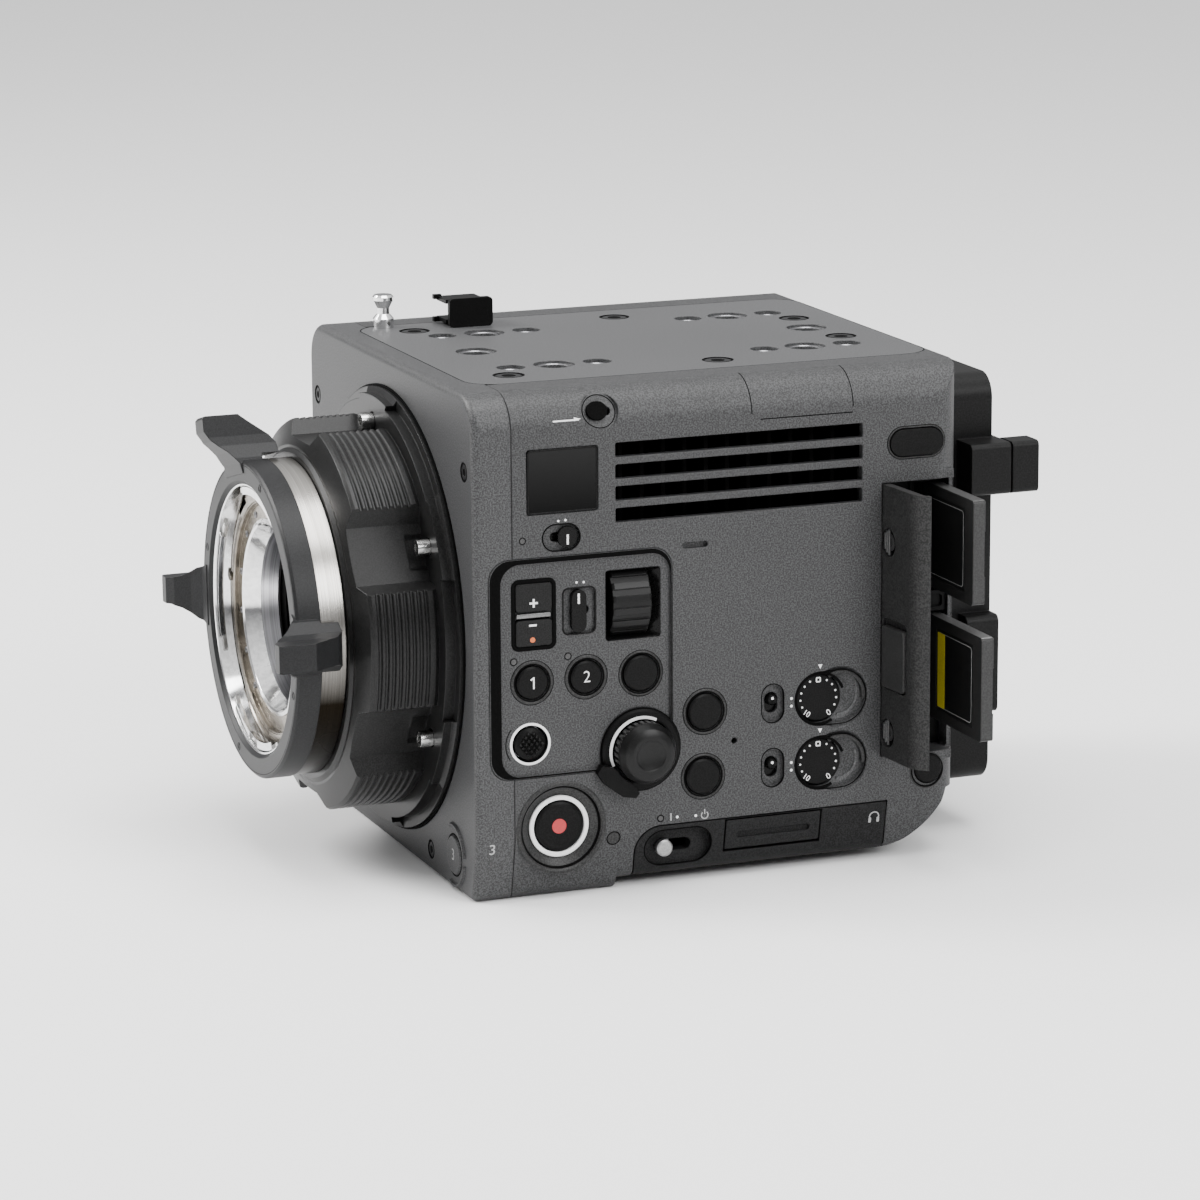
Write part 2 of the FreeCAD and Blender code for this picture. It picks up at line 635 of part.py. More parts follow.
def fan():
    hub = turned("x", grille_y, grille_z, [(1.5 + fit, -half + 3.2), (6.0, -half + 3.2), (6.0, -half + 12.0), (1.5 + fit, -half + 12.0)])
    blades = []
    for i in range(7):
        blade = box(-half + 4.0, -half + 11.0, grille_y - 0.6, grille_y + 0.6, grille_z + 5.5, grille_z + 15.5)
        blade.rotate(V(-half + 7.5, grille_y, grille_z + 10), V(0, 0, 1), 32)
        blade.rotate(V(0, grille_y, grille_z), V(1, 0, 0), i * 360 / 7)
        blades.append(blade)
    return fused([hub] + blades)


board_x = half - 11.3


def main_board():
    board = box(-half + 21.7, board_x - 0.1, 60.0, 61.6, base_thick + 2.5, 98.0)
    chips = [box(x, x + w, 61.4, 63.4, z, z + w) for x, z, w in ((-30, 50, 22), (5, 52, 26), (-34, 22, 14), (0, 20, 14))]
    return fused([board] + chips)


def control_board():
    board = box(board_x, board_x + 1.6, 15.0, bay_y[0] - 3.6, 16.4, 99.0)
    window = box(board_x - 1, board_x + 3, 35.0, 58.5, 66.0, 97.0)
    hole = disc_x(menu_dial[0], menu_dial[1], dial_shaft_r + 1.5, board_x - 1, board_x + 3)
    return board.cut(window).cut(hole)


def card_sockets():
    """The two card sockets behind the bay and the small one behind the SD door."""
    deep = half - card_in - card_long
    block = box(deep - 3.0, bay_floor_x - wall, card_front - 6.5, bay_y[1], bay_z[0] + 2.2, bay_z[1] + 0.1)
    tools = [box(deep - 0.6, bay_floor_x, card_front - run, card_front + card_thick + run,
                 z - run, z + card_wide + run) for z in card_z]
    small = box(36.5, half - 6.3, sd_y[0] + 1.5, sd_y[1] - 1.5, base_thick, 15.6)
    tools.append(box(38, 68, sd_y[0] + 2.4, sd_y[0] + 26.9, 11.2, 13.6))
    return bore(Part.makeCompound([block, small]), tools)


# Push buttons

def push_button(centre, r, face, inner, seat):
    """Round cap with a keeper flange behind the cover and a stem down to the board."""
    y, z = centre
    edge = 0.5
    return turned("x", y, z, [(0, seat), (1.5, seat), (1.5, inner - 1.3), (r + 0.9, inner - 1.3), (r + 0.9, inner - run),
                              (r, inner - run), (r, face + proud - edge), (r - edge, face + proud), (0, face + proud)])


seat_x = board_x + 1.6 + press + 0.1
side_inner = half - wall
panel_inner = panel_face - panel_thick


def record_cap():
    y, z = record_button
    face = half - record_deep
    inner = record_inner
    return turned("x", y, z, [(0, seat_x), (2.0, seat_x), (2.0, inner - 1.5), (record_cap_r + 0.9, inner - 1.5),
                              (record_cap_r + 0.9, inner - run), (record_cap_r, inner - run),
                              (record_cap_r, face + 0.6), (record_cap_r - 0.8, face + 1.0), (0, face + 0.8)])


def clips_cap():
    cap = pill("x", side_inner - run, half + 0.5, clips_y[0], clips_y[1], clips_z[0], clips_z[1])
    flange = pill("x", side_inner - 1.3, side_inner - run, clips_y[0] - 0.8, clips_y[1] - 1.2,
                  clips_z[0] - 0.8, clips_z[1] + 0.8)
    return fused([cap, flange])


def slot_cap():
    """Round cap under the media bay, with its keeper only below and ahead of the bay's floor."""
    y, z = slot_button
    cap = turned("x", y, z, [(0, side_inner - 1.3), (slot_cap_r, side_inner - 1.3), (slot_cap_r, half + proud - 0.5),
                             (slot_cap_r - 0.5, half + proud), (0, half + proud)])
    under = box(half - 10, half + 2, y - 10, y + 2.6, z - 10, bay_z[0] - wall - run)
    flange = disc_x(y, z, slot_cap_r + 0.9, side_inner - 1.3, side_inner - run).common(under)
    stem = disc_x(y, z - 1.5, 1.5, side_inner - 4.0, side_inner - 1.2)
    body = cap.cut(box(half - 10, side_inner - run, y - 10, y + 10, bay_z[0] - wall - run, z + 10))
    return fused([body, flange, stem])


def key(z0, z1):
    cap = slab("x", panel_inner - run, panel_face + 0.3, filter_keys_y[0], filter_keys_y[1], z0, z1, 0.9)
    flange = slab("x", panel_inner - 1.3, panel_inner - run, filter_keys_y[0] + 1.0, filter_keys_y[1] - 1.0,
                  z0 - 0.5, z1 + 0.5, 0.5)
    mid = (filter_keys_y[0] + filter_keys_y[1]) / 2
    stem = disc_x(mid, (z0 + z1) / 2, 1.5, seat_x, panel_inner - 1.0)
    return fused([cap, flange, stem])


def front_cap():
    x, z = front_button
    return turned("y", x, z, [(0, -0.5), (front_cap_r - 0.5, -0.5), (front_cap_r, 0.0), (front_cap_r, front_wall + run),
                              (front_cap_r + 1.0, front_wall + run), (front_cap_r + 1.0, front_wall + 1.5),
                              (1.5, front_wall + 1.5), (1.5, 11.3), (0, 11.3)])


# Slide switches

def focus_switch():
    y1 = focus_y[1] - 0.6
    knob = slab("x", half - 1.2 + 0.15, half - 0.2, y1 - 5.6, y1, focus_z[0] + 0.7, focus_z[1] - 0.7, 2.4)
    stem = box(half - 5, half - 1.0, y1 - 3.9, y1 - 2.5, 101.7, 103.2)
    plate = box(side_inner - 1.6, side_inner - run, y1 - 7.0, y1 - 0.5, 99.5, 105.4)
    return fused([knob, stem, plate])


def mode_switch():
    y0 = mode_y[0] + 2.3
    knob = pill("x", panel_face - 0.8 + 0.15, panel_face + 1.0, y0, y0 + 4.3, mode_z[0] + 0.5, mode_z[1] - 0.5)
    stem = box(panel_inner - 1.0, panel_face - 0.5, y0 + 0.6, y0 + 2.4, 80.7, 82.1)
    plate = box(panel_inner - 1.5, panel_inner - run, y0 - 1.2, y0 + 4.6, 76.5, 86.0)
    return fused([knob, stem, plate])


def auto_switch(z):
    zk = z + auto_travel / 2
    r = auto_slot[0] - run
    knob = turned("x", auto_y, zk, [(0, side_inner - 1.0), (r, side_inner - 1.0), (r, half - 0.9), (r - 0.5, half - 0.2),
                                    (0, half - 0.4)])
    stem = disc_x(auto_y, zk, 1.0, side_inner - 1.2, half - 1.0)
    plate = box(side_inner - 1.5, side_inner - run, auto_y - 3.4, auto_y + 3.4, zk - 5.0, zk + 4.2)
    return fused([knob, stem, plate])


def power_switch():
    x, y, z = side_x(11.0, 0.0), power_knob_y, 10.9
    knob = turned("x", y, z, [(0, x - 2.1), (1.5, x - 2.1), (1.5, x - 0.8), (2.4, x - 0.6), (2.4, x + 0.9), (1.9, x + 1.3),
                              (0, x + 1.4)])
    stem = disc_x(y, z, 1.3, x - 7.2, x - 2.0)
    plate = box(x - 7.6, x - 6.3, y - 2.6, y + 4.0, 8.0, 13.8)
    return fused([knob, stem, plate])


def lock_switch():
    y = lock_y - 1.0
    knob = pill("x", half - 1.2 + 0.15, half - 0.1, y - 3.7 + 0.9, y + 3.7 - 0.5, lock_z - 2.6, lock_z + 2.6)
    stem = box(half - 4.0, half - 1.0, y - 1.2, y + 1.2, lock_z - 0.9, lock_z + 0.9)
    plate = box(half - 5.2, half - 3.7, y - 3.0, y + 3.0, lock_z - 3.0, lock_z + 3.0)
    return lock_place(fused([knob, stem, plate]))


# Dials and joystick

def filter_wheel():
    x, z = panel_face + filter_dial_proud - filter_dial_r, filter_dial[1]
    y0, y1 = filter_dial[0] - filter_dial_width / 2, filter_dial[0] + filter_dial_width / 2
    wheel = turned("y", x, z, [(0, y0), (filter_dial_r - 0.5, y0), (filter_dial_r, y0 + 0.5), (filter_dial_r, y1 - 0.5),
                               (filter_dial_r - 0.5, y1), (0, y1)])
    notches = []
    for i in range(20):
        cut = box(x + filter_dial_r - 0.7, x + filter_dial_r + 1, y0 - 1, y1 + 1, z - 0.9, z + 0.9)
        cut.rotate(V(x, 0, z), V(0, 1, 0), i * 18)
        notches.append(cut)
    shaft = disc_y(x, z, dial_shaft_r, filter_window_y[0] - 1.6, filter_window_y[1] + 1.6)
    return bore(wheel, notches).fuse(shaft)


def dial_collar():
    y, z = menu_dial
    collar = turned("x", y, z, [(dial_shaft_r + fit, half - 6.0), (collar_r, half - 6.0), (collar_r, half + 0.2),
                                (collar_r - 0.6, half + 0.6), (9.6, half + 0.6), (9.2, half + 0.9), (8.9, half + 0.3),
                                (dial_shaft_r + fit, half + 0.3)])
    points = [(34.9, 35.0), (36.0, 37.3), (38.4, 36.9), (41.5, 35.4), (46.2, 29.9), (46.8, 28.6), (45.8, 27.4),
              (41.9, 28.1), (37.3, 31.5)]
    guard = prism("x", half + 0.05, half + 3.4, points).cut(disc_x(y, z, menu_knob_r + 0.8, half - 1, half + 5))
    slope = prism("z", 20, 45, [(half + 3.6, 33.0), (half + 0.6, 33.0), (half + 3.6, 37.5)])
    return fused([collar, guard.cut(slope)])


def menu_knob():
    y, z = menu_dial
    base, top = half + 0.3 + press + 0.15, half + menu_knob_proud
    body = turned("x", y, z, [(0, base), (menu_knob_r - 0.3, base), (menu_knob_r, base + 0.5), (menu_knob_r, top - 3.0),
                              (menu_knob_r - 1.2, top - 0.9), (5.6, top), (4.4, top), (3.0, top - 1.2), (0, top - 1.7)])
    notches = []
    for i in range(30):
        cut = box(base - 1, top - 3.2, y - 0.35, y + 0.35, z + menu_knob_r - 0.45, z + menu_knob_r + 1)
        cut.rotate(V(0, y, z), V(1, 0, 0), i * 12)
        notches.append(cut)
    socket = disc_x(y, z, dial_shaft_r + fit, base - 1, base + 4.2)
    return bore(body, notches).cut(socket)


def dial_shaft():
    y, z = menu_dial
    base = half + 0.3 + press + 0.15
    return turned("x", y, z, [(0, board_x - 2.0), (dial_shaft_r, board_x - 2.0), (dial_shaft_r, half - 8.3),
                              (4.0, half - 8.3), (4.0, half - 6.3), (dial_shaft_r, half - 6.3), (dial_shaft_r, base + 4.1), (0, base + 4.1)])


def level_dial(z):
    face = half - level_face
    floor = half - level_deep
    disc = turned("x", level_y, z, [(0, floor + 0.2), (level_r, floor + 0.2), (level_r, face - 0.4), (level_r - 0.4, face),
                                    (0, face)])
    shaft = disc_x(level_y, z, dial_shaft_r, board_x + 1.6 + 0.3, floor + 0.3)
    return fused([disc, shaft])


def stick_gimbal():
    y, z = stick
    ring = turned("x", y, z, [(5.7, pivot_x - 1.2), (7.2, pivot_x - 1.2), (7.2, pivot_x + 1.2), (5.7, pivot_x + 1.2)])
    pins = [disc_z(pivot_x, y, 0.8, z0, z1) for z0, z1 in ((z - 9.0, z - 6.0), (z + 6.0, z + 9.0))]
    holes = disc_y(pivot_x, z, 0.8 + fit, y - 10, y + 10)
    return fused([ring] + pins).cut(holes)


def stick_plate():
    y, z = stick
    plate = turned("x", y, z, [(1.5 + fit, pivot_x - 1.2), (4.9, pivot_x - 1.2), (4.9, pivot_x + 1.2), (1.5 + fit, pivot_x + 1.2)])
    pins = [disc_y(pivot_x, z, 0.8, y0, y1) for y0, y1 in ((y - 7.0, y - 4.5), (y + 4.5, y + 7.0))]
    return fused([plate] + pins)


def stick_cap():
    y, z = stick
    top = panel_face + 0.9
    return turned("x", y, z, [(0, pivot_x - 2.2), (1.5, pivot_x - 2.2), (1.5, pivot_x + 2.3), (stick_cap_r - 1.0, pivot_x + 2.3),
                              (stick_cap_r, pivot_x + 3.4), (stick_cap_r, top - 1.2), (stick_cap_r - 1.4, top - 0.3), (0, top)])


# Doors and cards

def open_door(shape):
    shape.rotate(V(hinge_x, hinge_y, 0), V(0, 0, 1), -door_open)
    return shape


def media_door():
    z0, z1 = bay_z[0] + run, bay_z[1] - run
    inner = half - door_thick
    edge_r = half - hinge_x
    blank = outer_body.common(box(inner, half + 1, hinge_y, door_end, z0, z1).fuse(
        box(inner - door_lip, half + 1, card_front + card_thick + run, door_end, z0, z1)))
    knuckle = disc_z(hinge_x, hinge_y, edge_r, z0, z1).fuse(box(inner, hinge_x, hinge_y - edge_r, hinge_y + 1, z0, z1))
    pins = [disc_z(hinge_x, hinge_y, hinge_pin_r, z, z + 2.0) for z in (z0 - 1.2, z1 - 0.8)]
    door = fused([blank, knuckle] + pins)
    grip_bed = slab("x", half - 1.0, half + 1, hinge_y + 1.6, hinge_y + 14.7, 51.4, 71.8, 1.5)
    notches = [disc_x(hinge_y + 4.0, z, 4.2, half - 0.9, half + 1) for z in (93.5, 38.5)]
    slot = box(half - 4, half, hinge_y + 5.3, hinge_y + 8.7, 57.0, 66.0)
    return open_door(bore(door, [grip_bed, slot] + notches))


def door_grip():
    y = hinge_y + 2.0
    plate = slab("x", half - 0.85, half + 0.7, y, y + 12.3, 51.9, 69.6, 1.3)
    stem = box(half - door_thick - run, half - 0.8, hinge_y + 5.7, hinge_y + 8.3, 57.4, 63.9)
    keeper = box(half - door_thick - 1.3, half - door_thick - run, hinge_y + 4.6, hinge_y + 9.4, 57.4, 63.9)
    return open_door(fused([plate, stem, keeper]))


def media_card(index):
    outer = half + card_out[index]
    x0, z0 = outer - card_long, card_z[index]
    body = slab("y", card_front, card_front + card_thick, x0, outer, z0, z0 + card_wide, 1.0)
    label = box(x0 + 9.0, outer - 5.5, card_front - 1, card_front + 0.15, z0 + 3.0, z0 + card_wide - 3.0)
    contacts = box(x0 - 1, x0 + 6.0, card_front + card_thick - 0.5, card_front + 6, z0 + 3.0, z0 + card_wide - 3.0)
    grip = box(outer - 1.2, outer + 1, card_front + card_thick - 0.6, card_front + 6, z0 + 8.0, z0 + 21.0)
    return bore(body, [label, contacts, grip])


def sd_hinge():
    """Place (x, z) of the SD door's hinge line, just inside its lower edge."""
    z = sd_z[0] + 1.5
    return side_x(z, 0.0) - 1.2, z


def sd_door():
    x, z = sd_hinge()
    inner_x = side_x(sd_z[0], 0.0) - wall
    y0, y1 = sd_y[0] + run, sd_y[1] - run
    blank = outer_body.common(box(inner_x, half + 1, y0, y1, z, sd_z[1] - run))
    knuckle = disc_y(x, z, 1.2, y0, y1)
    groove = pill("x", side_x(12.4, 0.0) - 1.0, half + 1, sd_y[0] + 3.6, sd_y[1] - 3.3, 11.4, 13.4)
    pins = [disc_y(x, z, 0.5, y, y + 2.0) for y in (y0 - 1.0, y1 - 1.0)]
    return fused([bore(blank.fuse(knuckle), [groove])] + pins)


# Lens side

def facet_cut(angle):
    """Tool that planes one facet between two lobes, with a slope up to each, and frees the screw behind it."""
    reach = lobe_r * math.sin(math.radians(facet_half))
    low, high = facet_at, lobe_r + 3.0
    outline = [(low, lens_z - reach + 3.2), (high, lens_z - reach - 5.5), (high, lens_z + reach + 5.5),
               (low, lens_z + reach - 3.2)]
    tool = turn_about_lens(prism("y", ring_rear - 1.0, lobe_y[1], outline), angle)
    return tool.fuse(disc_y(*lens_spot(angle, adapter_screw_r), 6.5, -9.5, lobe_y[1]).cut(disc_y(0, lens_z, neck_r, -30, 0)))


def bell_notch(angle):
    """Step in the bell's rim between two screws."""
    sector = prism("y", lobe_y[1] - 0.5, -1.4, [(0, lens_z - 20.0), (0, lens_z + 20.0), (bell_r + 1, lens_z + 20.0),
                                                (bell_r + 1, lens_z - 20.0)])
    return turn_about_lens(sector, angle).cut(disc_y(0, lens_z, bell_r - 3.2, -30, 0))


def adapter_body():
    nose = ring_r + 1.2
    base = turned("y", 0, lens_z, [(throat_r, 0), (bell_r, 0), (bell_r, -1.4), (bell_r - 1.7, -2.2), (bell_r - 1.7, lobe_y[1]),
                                   (neck_r, lobe_y[1]), (neck_r, lobe_y[0]), (nose + 2.0, ring_rear + 1.8),
                                   (nose, ring_rear + run), (barrel_r, ring_rear + run), (barrel_r, flange_y + 1.2),
                                   (flange_r + 0.1, flange_y + 1.2), (flange_r + 0.1, flange_y + flange_thick),
                                   (throat_r, flange_y + flange_thick)])
    profile = [(nose, ring_rear + 1.2), (nose + 2.0, ring_rear + 1.2), (lobe_r - 0.6, lobe_y[0]), (lobe_r, lobe_y[0] + 0.9)]
    pitch = (lobe_y[1] - lobe_y[0] - 4.0) / grooves
    for i in range(grooves):
        y = lobe_y[0] + 2.0 + pitch * i
        profile += [(lobe_r, y), (lobe_r - 0.6, y + 0.4), (lobe_r - 0.6, y + 0.9), (lobe_r, y + 1.3)]
    profile += [(lobe_r, lobe_y[1] - 1.2), (lobe_r - 0.6, lobe_y[1] + 0.1), (nose, lobe_y[1] + 0.1)]
    step = 360 / lobe_count
    angles = [facet_angle + step * i for i in range(lobe_count)]
    band = bore(turned("y", 0, lens_z, profile), [facet_cut(a) for a in angles])
    body = fused([base, band])
    holes = [disc_y(*lens_spot(a, adapter_screw_r), 2.7, -9.5, lobe_y[1] + 2.5) for a in angles]
    notches = [bell_notch(a + step / 2) for a in angles]
    return bore(body, holes + notches)


def lens_spot(angle, r):
    a = math.radians(angle)
    return r * math.cos(a), lens_z + r * math.sin(a)


def adapter_screws():
    heads = []
    for i in range(lobe_count):
        x, z = lens_spot(facet_angle + i * 360 / lobe_count, adapter_screw_r)
        hexagon = prism("y", -9.0, -6.8, [(x + 1.2 * math.cos(math.radians(a)), z + 1.2 * math.sin(math.radians(a)))
                                          for a in range(0, 360, 60)])
        heads.append(disc_y(x, z, 2.4, -8.2, -2.2).cut(hexagon))
    return heads


def lens_flange():
    ring = ring_y(bore_r, flange_r, flange_y, flange_y + flange_thick - 0.02)
    step = ring_y(bore_r - 1, bore_r + 6.0, flange_y - 1, flange_y + 1.2)
    tools = [turn_about_lens(box(flange_r - 3.4, flange_r + 7, flange_y - 1, flange_y + 2.0, lens_z - 4, lens_z + 4), a)
             for a in (40, 130, 220, 310)]
    pin = disc_y(*lens_spot(172, flange_r - 2.8), 1.2, flange_y - 1.0, flange_y + 0.5)
    return bore(ring, tools + [step]).fuse(pin)


def body_mount():
    ring = ring_y(24.0, mount_hole_r - 0.1, 0.02, front_wall - 0.5)
    tools = [disc_y(*lens_spot(a, 29.0), 1.3, -1, 2) for a in (45, 135, 225, 315)]
    return bore(ring, tools)


def lock_ring():
    return ring_y(barrel_r + run, ring_r - 0.3, ring_join, ring_rear)


wing_angles = (1.6, 105.0, 182.0)
# From the front, (across, beyond the ring's edge)
wing_front = [(-9.0, -4.4), (-7.5, 0.1), (-4.8, 4.0), (-3.9, 6.6), (-3.9, 12.8), (3.9, 12.8), (3.9, 6.6), (4.8, 4.0),
              (7.5, 0.1), (9.0, -4.4)]
# From the side, (beyond the ring's edge, place along the lens axis)
wing_side = [(-6.4, ring_front), (-1.4, ring_front - 0.6), (2.0, ring_front - 3.2), (5.6, ring_front - 7.2),
             (8.4, ring_front - 9.0), (12.0, ring_front - 9.0), (12.8, ring_front - 8.2), (12.8, ring_front + 1.4),
             (10.8, ring_front + 3.9), (6.4, ring_front + 9.9), (4.0, ring_front + 11.6), (1.0, ring_front + 11.6),
             (1.0, ring_join - 0.4), (-6.4, ring_join - 2.4)]


def wing(angle):
    """Finger lever: its outline from the front cut with its outline from the side."""
    front_shape = prism("y", ring_front - 12, ring_rear, [(ring_r + r, lens_z + t) for t, r in wing_front])
    side_shape = prism("z", lens_z - 12, lens_z + 12, [(ring_r + r, y) for r, y in wing_side])
    lever = front_shape.common(side_shape)
    bore_cut = disc_y(0, lens_z, barrel_r + run, -60, 0).cut(disc_y(0, lens_z, barrel_r + 20, -60, flange_y - 1.1))
    opening = disc_y(0, lens_z, ring_open_r + 0.6, -60, -30)
    return turn_about_lens(lever.cut(bore_cut).cut(opening), angle)


def ring_cap():
    ring = turned("y", 0, lens_z, [(ring_open_r, ring_front + 1.0), (ring_open_r + 1.0, ring_front), (ring_r - 0.7, ring_front),
                                   (ring_r, ring_front + 0.7), (ring_r, ring_join - 0.02), (barrel_r + run, ring_join - 0.02),
                                   (barrel_r + run, flange_y - 0.9), (ring_open_r, flange_y - 0.9)])
    return fused([ring] + [wing(a) for a in wing_angles])


# Rear

def rear_housing():
    inner_end = body_depth - wall
    top = body_height - plate_thick - 0.1
    wall_block = box(-plate_half + 0.1, plate_half - 0.1, inner_end, body_depth + 1.5, ramp_top_z + 2.9, top)
    block = slab("y", body_depth + 0.5, rear_depth, -rear_half, rear_half, rear_z[0], rear_z[1], 7.0)
    hollow = slab("y", inner_end + wall, rear_depth - 8.5, -rear_half + wall, rear_half - wall, rear_z[0] + wall,
                  rear_z[1] - wall, 5.0)
    back = box(-rear_half + wall, rear_half - wall, inner_end - 1, body_depth + 3.0, rear_z[0], ramp_top_z + 2.9 + wall)
    guard = slab("y", rear_depth - 11.0, guard_end, rear_half - 8, guard_x, guard_z[0], guard_z[1], 1.6)
    lug = slab("y", rear_depth - 10.0, rear_depth, rear_half - 5, rear_half + 6, lug_z[0], lug_z[1], 2.0)
    block = fused([wall_block, block]).cut(hollow.cut(back))
    block = fused([block, guard, lug])
    pocket = slab("y", rear_depth - 6.0, rear_depth + 3, -battery_half - seam, battery_half + seam,
                  battery_z[0] - seam, battery_z[1] + seam, 3.0)
    channel = box(46.2, guard_x - 2.0, rear_depth - 5.4, guard_end + 1, guard_z[0] + 3.7, guard_z[1] - 3.7)
    return bore(block, [pocket, channel])


wedge = [(-35.0, battery_z[1] + 1), (35.0, battery_z[1] + 1), (29.0, 64.0), (-29.0, 64.0)]


def battery_plate():
    plate = slab("y", rear_depth - 6.0, rear_depth + 2.0, -battery_half, battery_half, battery_z[0], battery_z[1], 3.0 - seam)
    recess = prism("y", rear_depth - 3.0, rear_depth + 3, wedge)
    lip = prism("y", rear_depth - 3.0, rear_depth - 0.5, [(-38.0, battery_z[1] + 1), (38.0, battery_z[1] + 1), (32.0, 62.0), (-32.0, 62.0)])
    lock = box(-6, 6, rear_depth - 2.0, rear_depth + 3, 36.0, 46.0)
    contact = box(-13.2, 13.2, rear_depth - 7, rear_depth + 3, 77.8, 92.2)
    return bore(plate, [recess, lip, lock, contact])


def battery_contacts():
    block = box(-13.0, 13.0, rear_depth - 5.98, rear_depth - 1.2, 78.0, 92.0)
    slots = [box(x - 0.6, x + 0.6, rear_depth - 4.5, rear_depth, 80.0, 90.0) for x in (-9, -4.5, 0, 4.5, 9)]
    return bore(block, slots)


def release_button():
    cap = slab("y", guard_end + 0.6, release_end, rear_half + 0.4, guard_x, guard_z[0], guard_z[1], 1.6)
    tongue = box(51.0, guard_x - 2.5, rear_depth - 5.0, guard_end + 1.0, guard_z[0] + 4.0, guard_z[1] - 4.0)
    return fused([cap, tongue])


# Top trim

def tape_hook():
    top = body_height
    return turned("z", -50.0, 16.0, [(0, top), (3.1, top), (3.1, top + 2.7), (1.9, top + 4.1), (1.9, top + 5.9),
                                     (2.7, top + 7.4), (3.1, top + 8.1), (3.1, top + 9.1), (2.6, top + 9.7), (0, top + 9.7)])


clamp_x = (-52.0, -40.4)
clamp_y = (33.4, 46.8)
clamp_high = 8.6
clamp_mouth = (2.0, 6.7)        # from the top face up


def cable_clamp():
    """Clip with a rounded plate towards the operator and two hooked leaves round its mouth."""
    x0, x1 = clamp_x
    y0, y1 = clamp_y
    top = body_height
    plate = slab("x", x1 - 1.8, x1, y0, y1, top, top + clamp_high, 1.3)
    block = slab("x", x0, x1 - 0.5, y0 + 1.8, y1 - 1.2, top, top + clamp_high - 0.7, 0.8)
    upper = box(x0, x1 - 3.4, y0, y0 + 3.0, top + clamp_mouth[1], top + clamp_high - 0.7)
    lower = box(x0, x1 - 3.4, y0, y0 + 3.0, top + 0.9, top + clamp_mouth[0])
    hooks = [box(x0, x0 + 1.6, y0 - 1.4, y0 + 1.0, top + clamp_mouth[1] + 0.5, top + clamp_high - 0.1),
             box(x0, x0 + 1.6, y0 - 1.4, y0 + 1.0, top + 0.5, top + clamp_mouth[0] - 0.1)]
    mouth = box(x0 - 1, x1 - 2.4, y0 - 2.0, y0 + 6.6, top + clamp_mouth[0], top + clamp_mouth[1])
    return bore(fused([plate, block, upper, lower] + hooks), [mouth])


def side_sockets():
    """Video sockets and audio sockets of the far side."""
    made = []
    back = -half + wall
    for y, z in video_sockets:
        made.append(turned("x", y, z, [(0, -half), (1.0, -half), (1.0, back), (3.9, back), (3.9, -half - 0.4),
                                       (4.8, -half - 0.4), (4.8, back), (8.6, back), (8.6, back + 2.5), (0, back + 2.5)]))
    for y, z in audio_sockets:
        body = turned("x", y, z, [(0, -half + 1.0), (7.9, -half + 1.0), (7.9, -half + 8.0), (9.5, -half + 8.0), (9.5, -half + 0.0),
                                  (11.0, -half + 0.0), (11.0, -half + 14.0), (0, -half + 14.0)])
        made.append(bore(body, [disc_x(y + 3.5 * math.cos(math.radians(a)), z + 3.5 * math.sin(math.radians(a)), 1.1, -half, -half + 7)
                                for a in (90, 210, 330)]))
    return Part.makeCompound(made)


add("front_frame", front_frame())
add("operator_panel", operator_panel())
add("control_panel", control_panel())
add("bay_liner", bay_liner())
add("lower_cover", lower_cover())
add("outer_side_panel", outer_side_panel())
add("top_plate", top_plate())
add("base_plate", base_plate())
add("cap_screws", screw_heads())
add("rear_housing", rear_housing())
add("battery_plate", battery_plate())
add("battery_contacts", battery_contacts())
add("release_button", release_button())
add("chassis", chassis())
add("filter_plate", filter_plate())
add("sensor_carrier", sensor_carrier())
add("image_sensor", box(-20, 20, sensor_y, 18.4, lens_z - 14.5, lens_z + 14.5))
add("heat_sink", heat_sink())
add("fan", fan())
add("circuit_boards", Part.makeCompound([main_board(), control_board()]))
add("card_sockets", card_sockets())
add("side_sockets", side_sockets())
add("body_mount", body_mount())
add("adapter_body", adapter_body())
add("lens_flange", lens_flange())
add("lock_ring", lock_ring())
add("ring_cap", ring_cap())
add("record_button", record_cap())
add("button_1", push_button(button_1, small_cap_r, panel_face, panel_inner, seat_x))
add("button_2", push_button(button_2, small_cap_r, panel_face, panel_inner, seat_x))
add("button_3", front_cap())
add("display_button", push_button(display_button, cap_r, panel_face, panel_inner, seat_x))
add("menu_button", push_button(menu_button, cap_r, half, side_inner, seat_x))
add("back_button", push_button(back_button, cap_r, half, side_inner, seat_x))
add("slot_button", slot_cap())
add("clips_button", clips_cap())
add("plus_button", key(*plus_z))
add("minus_button", key(*minus_z))
add("focus_switch", focus_switch())
add("mode_switch", mode_switch())
add("auto_switch_1", auto_switch(auto_z[0]))
add("auto_switch_2", auto_switch(auto_z[1]))
add("power_switch", power_switch())
add("lock_switch", lock_switch())
add("filter_dial", filter_wheel())
add("dial_collar", dial_collar())
add("menu_dial", menu_knob())
add("dial_shaft", dial_shaft())
add("level_dial_1", level_dial(level_z[0]))
add("level_dial_2", level_dial(level_z[1]))
add("stick_gimbal", stick_gimbal())
add("stick_plate", stick_plate())
add("joystick", stick_cap())
add("media_door", media_door())
add("door_grip", door_grip())
add("media_card_1", media_card(0))
add("media_card_2", media_card(1))
add("sd_door", sd_door())
add("tape_hook", tape_hook())
add("cable_clamp", cable_clamp())

os.makedirs("parts", exist_ok=True)
for name, shape in parts.items():
    shape.translate(V(0, front_y, 0))
    shape.exportStep("parts/" + name + ".step")
print(len(parts), "parts")
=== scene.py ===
import bpy
import math
from mathutils import Matrix, Vector


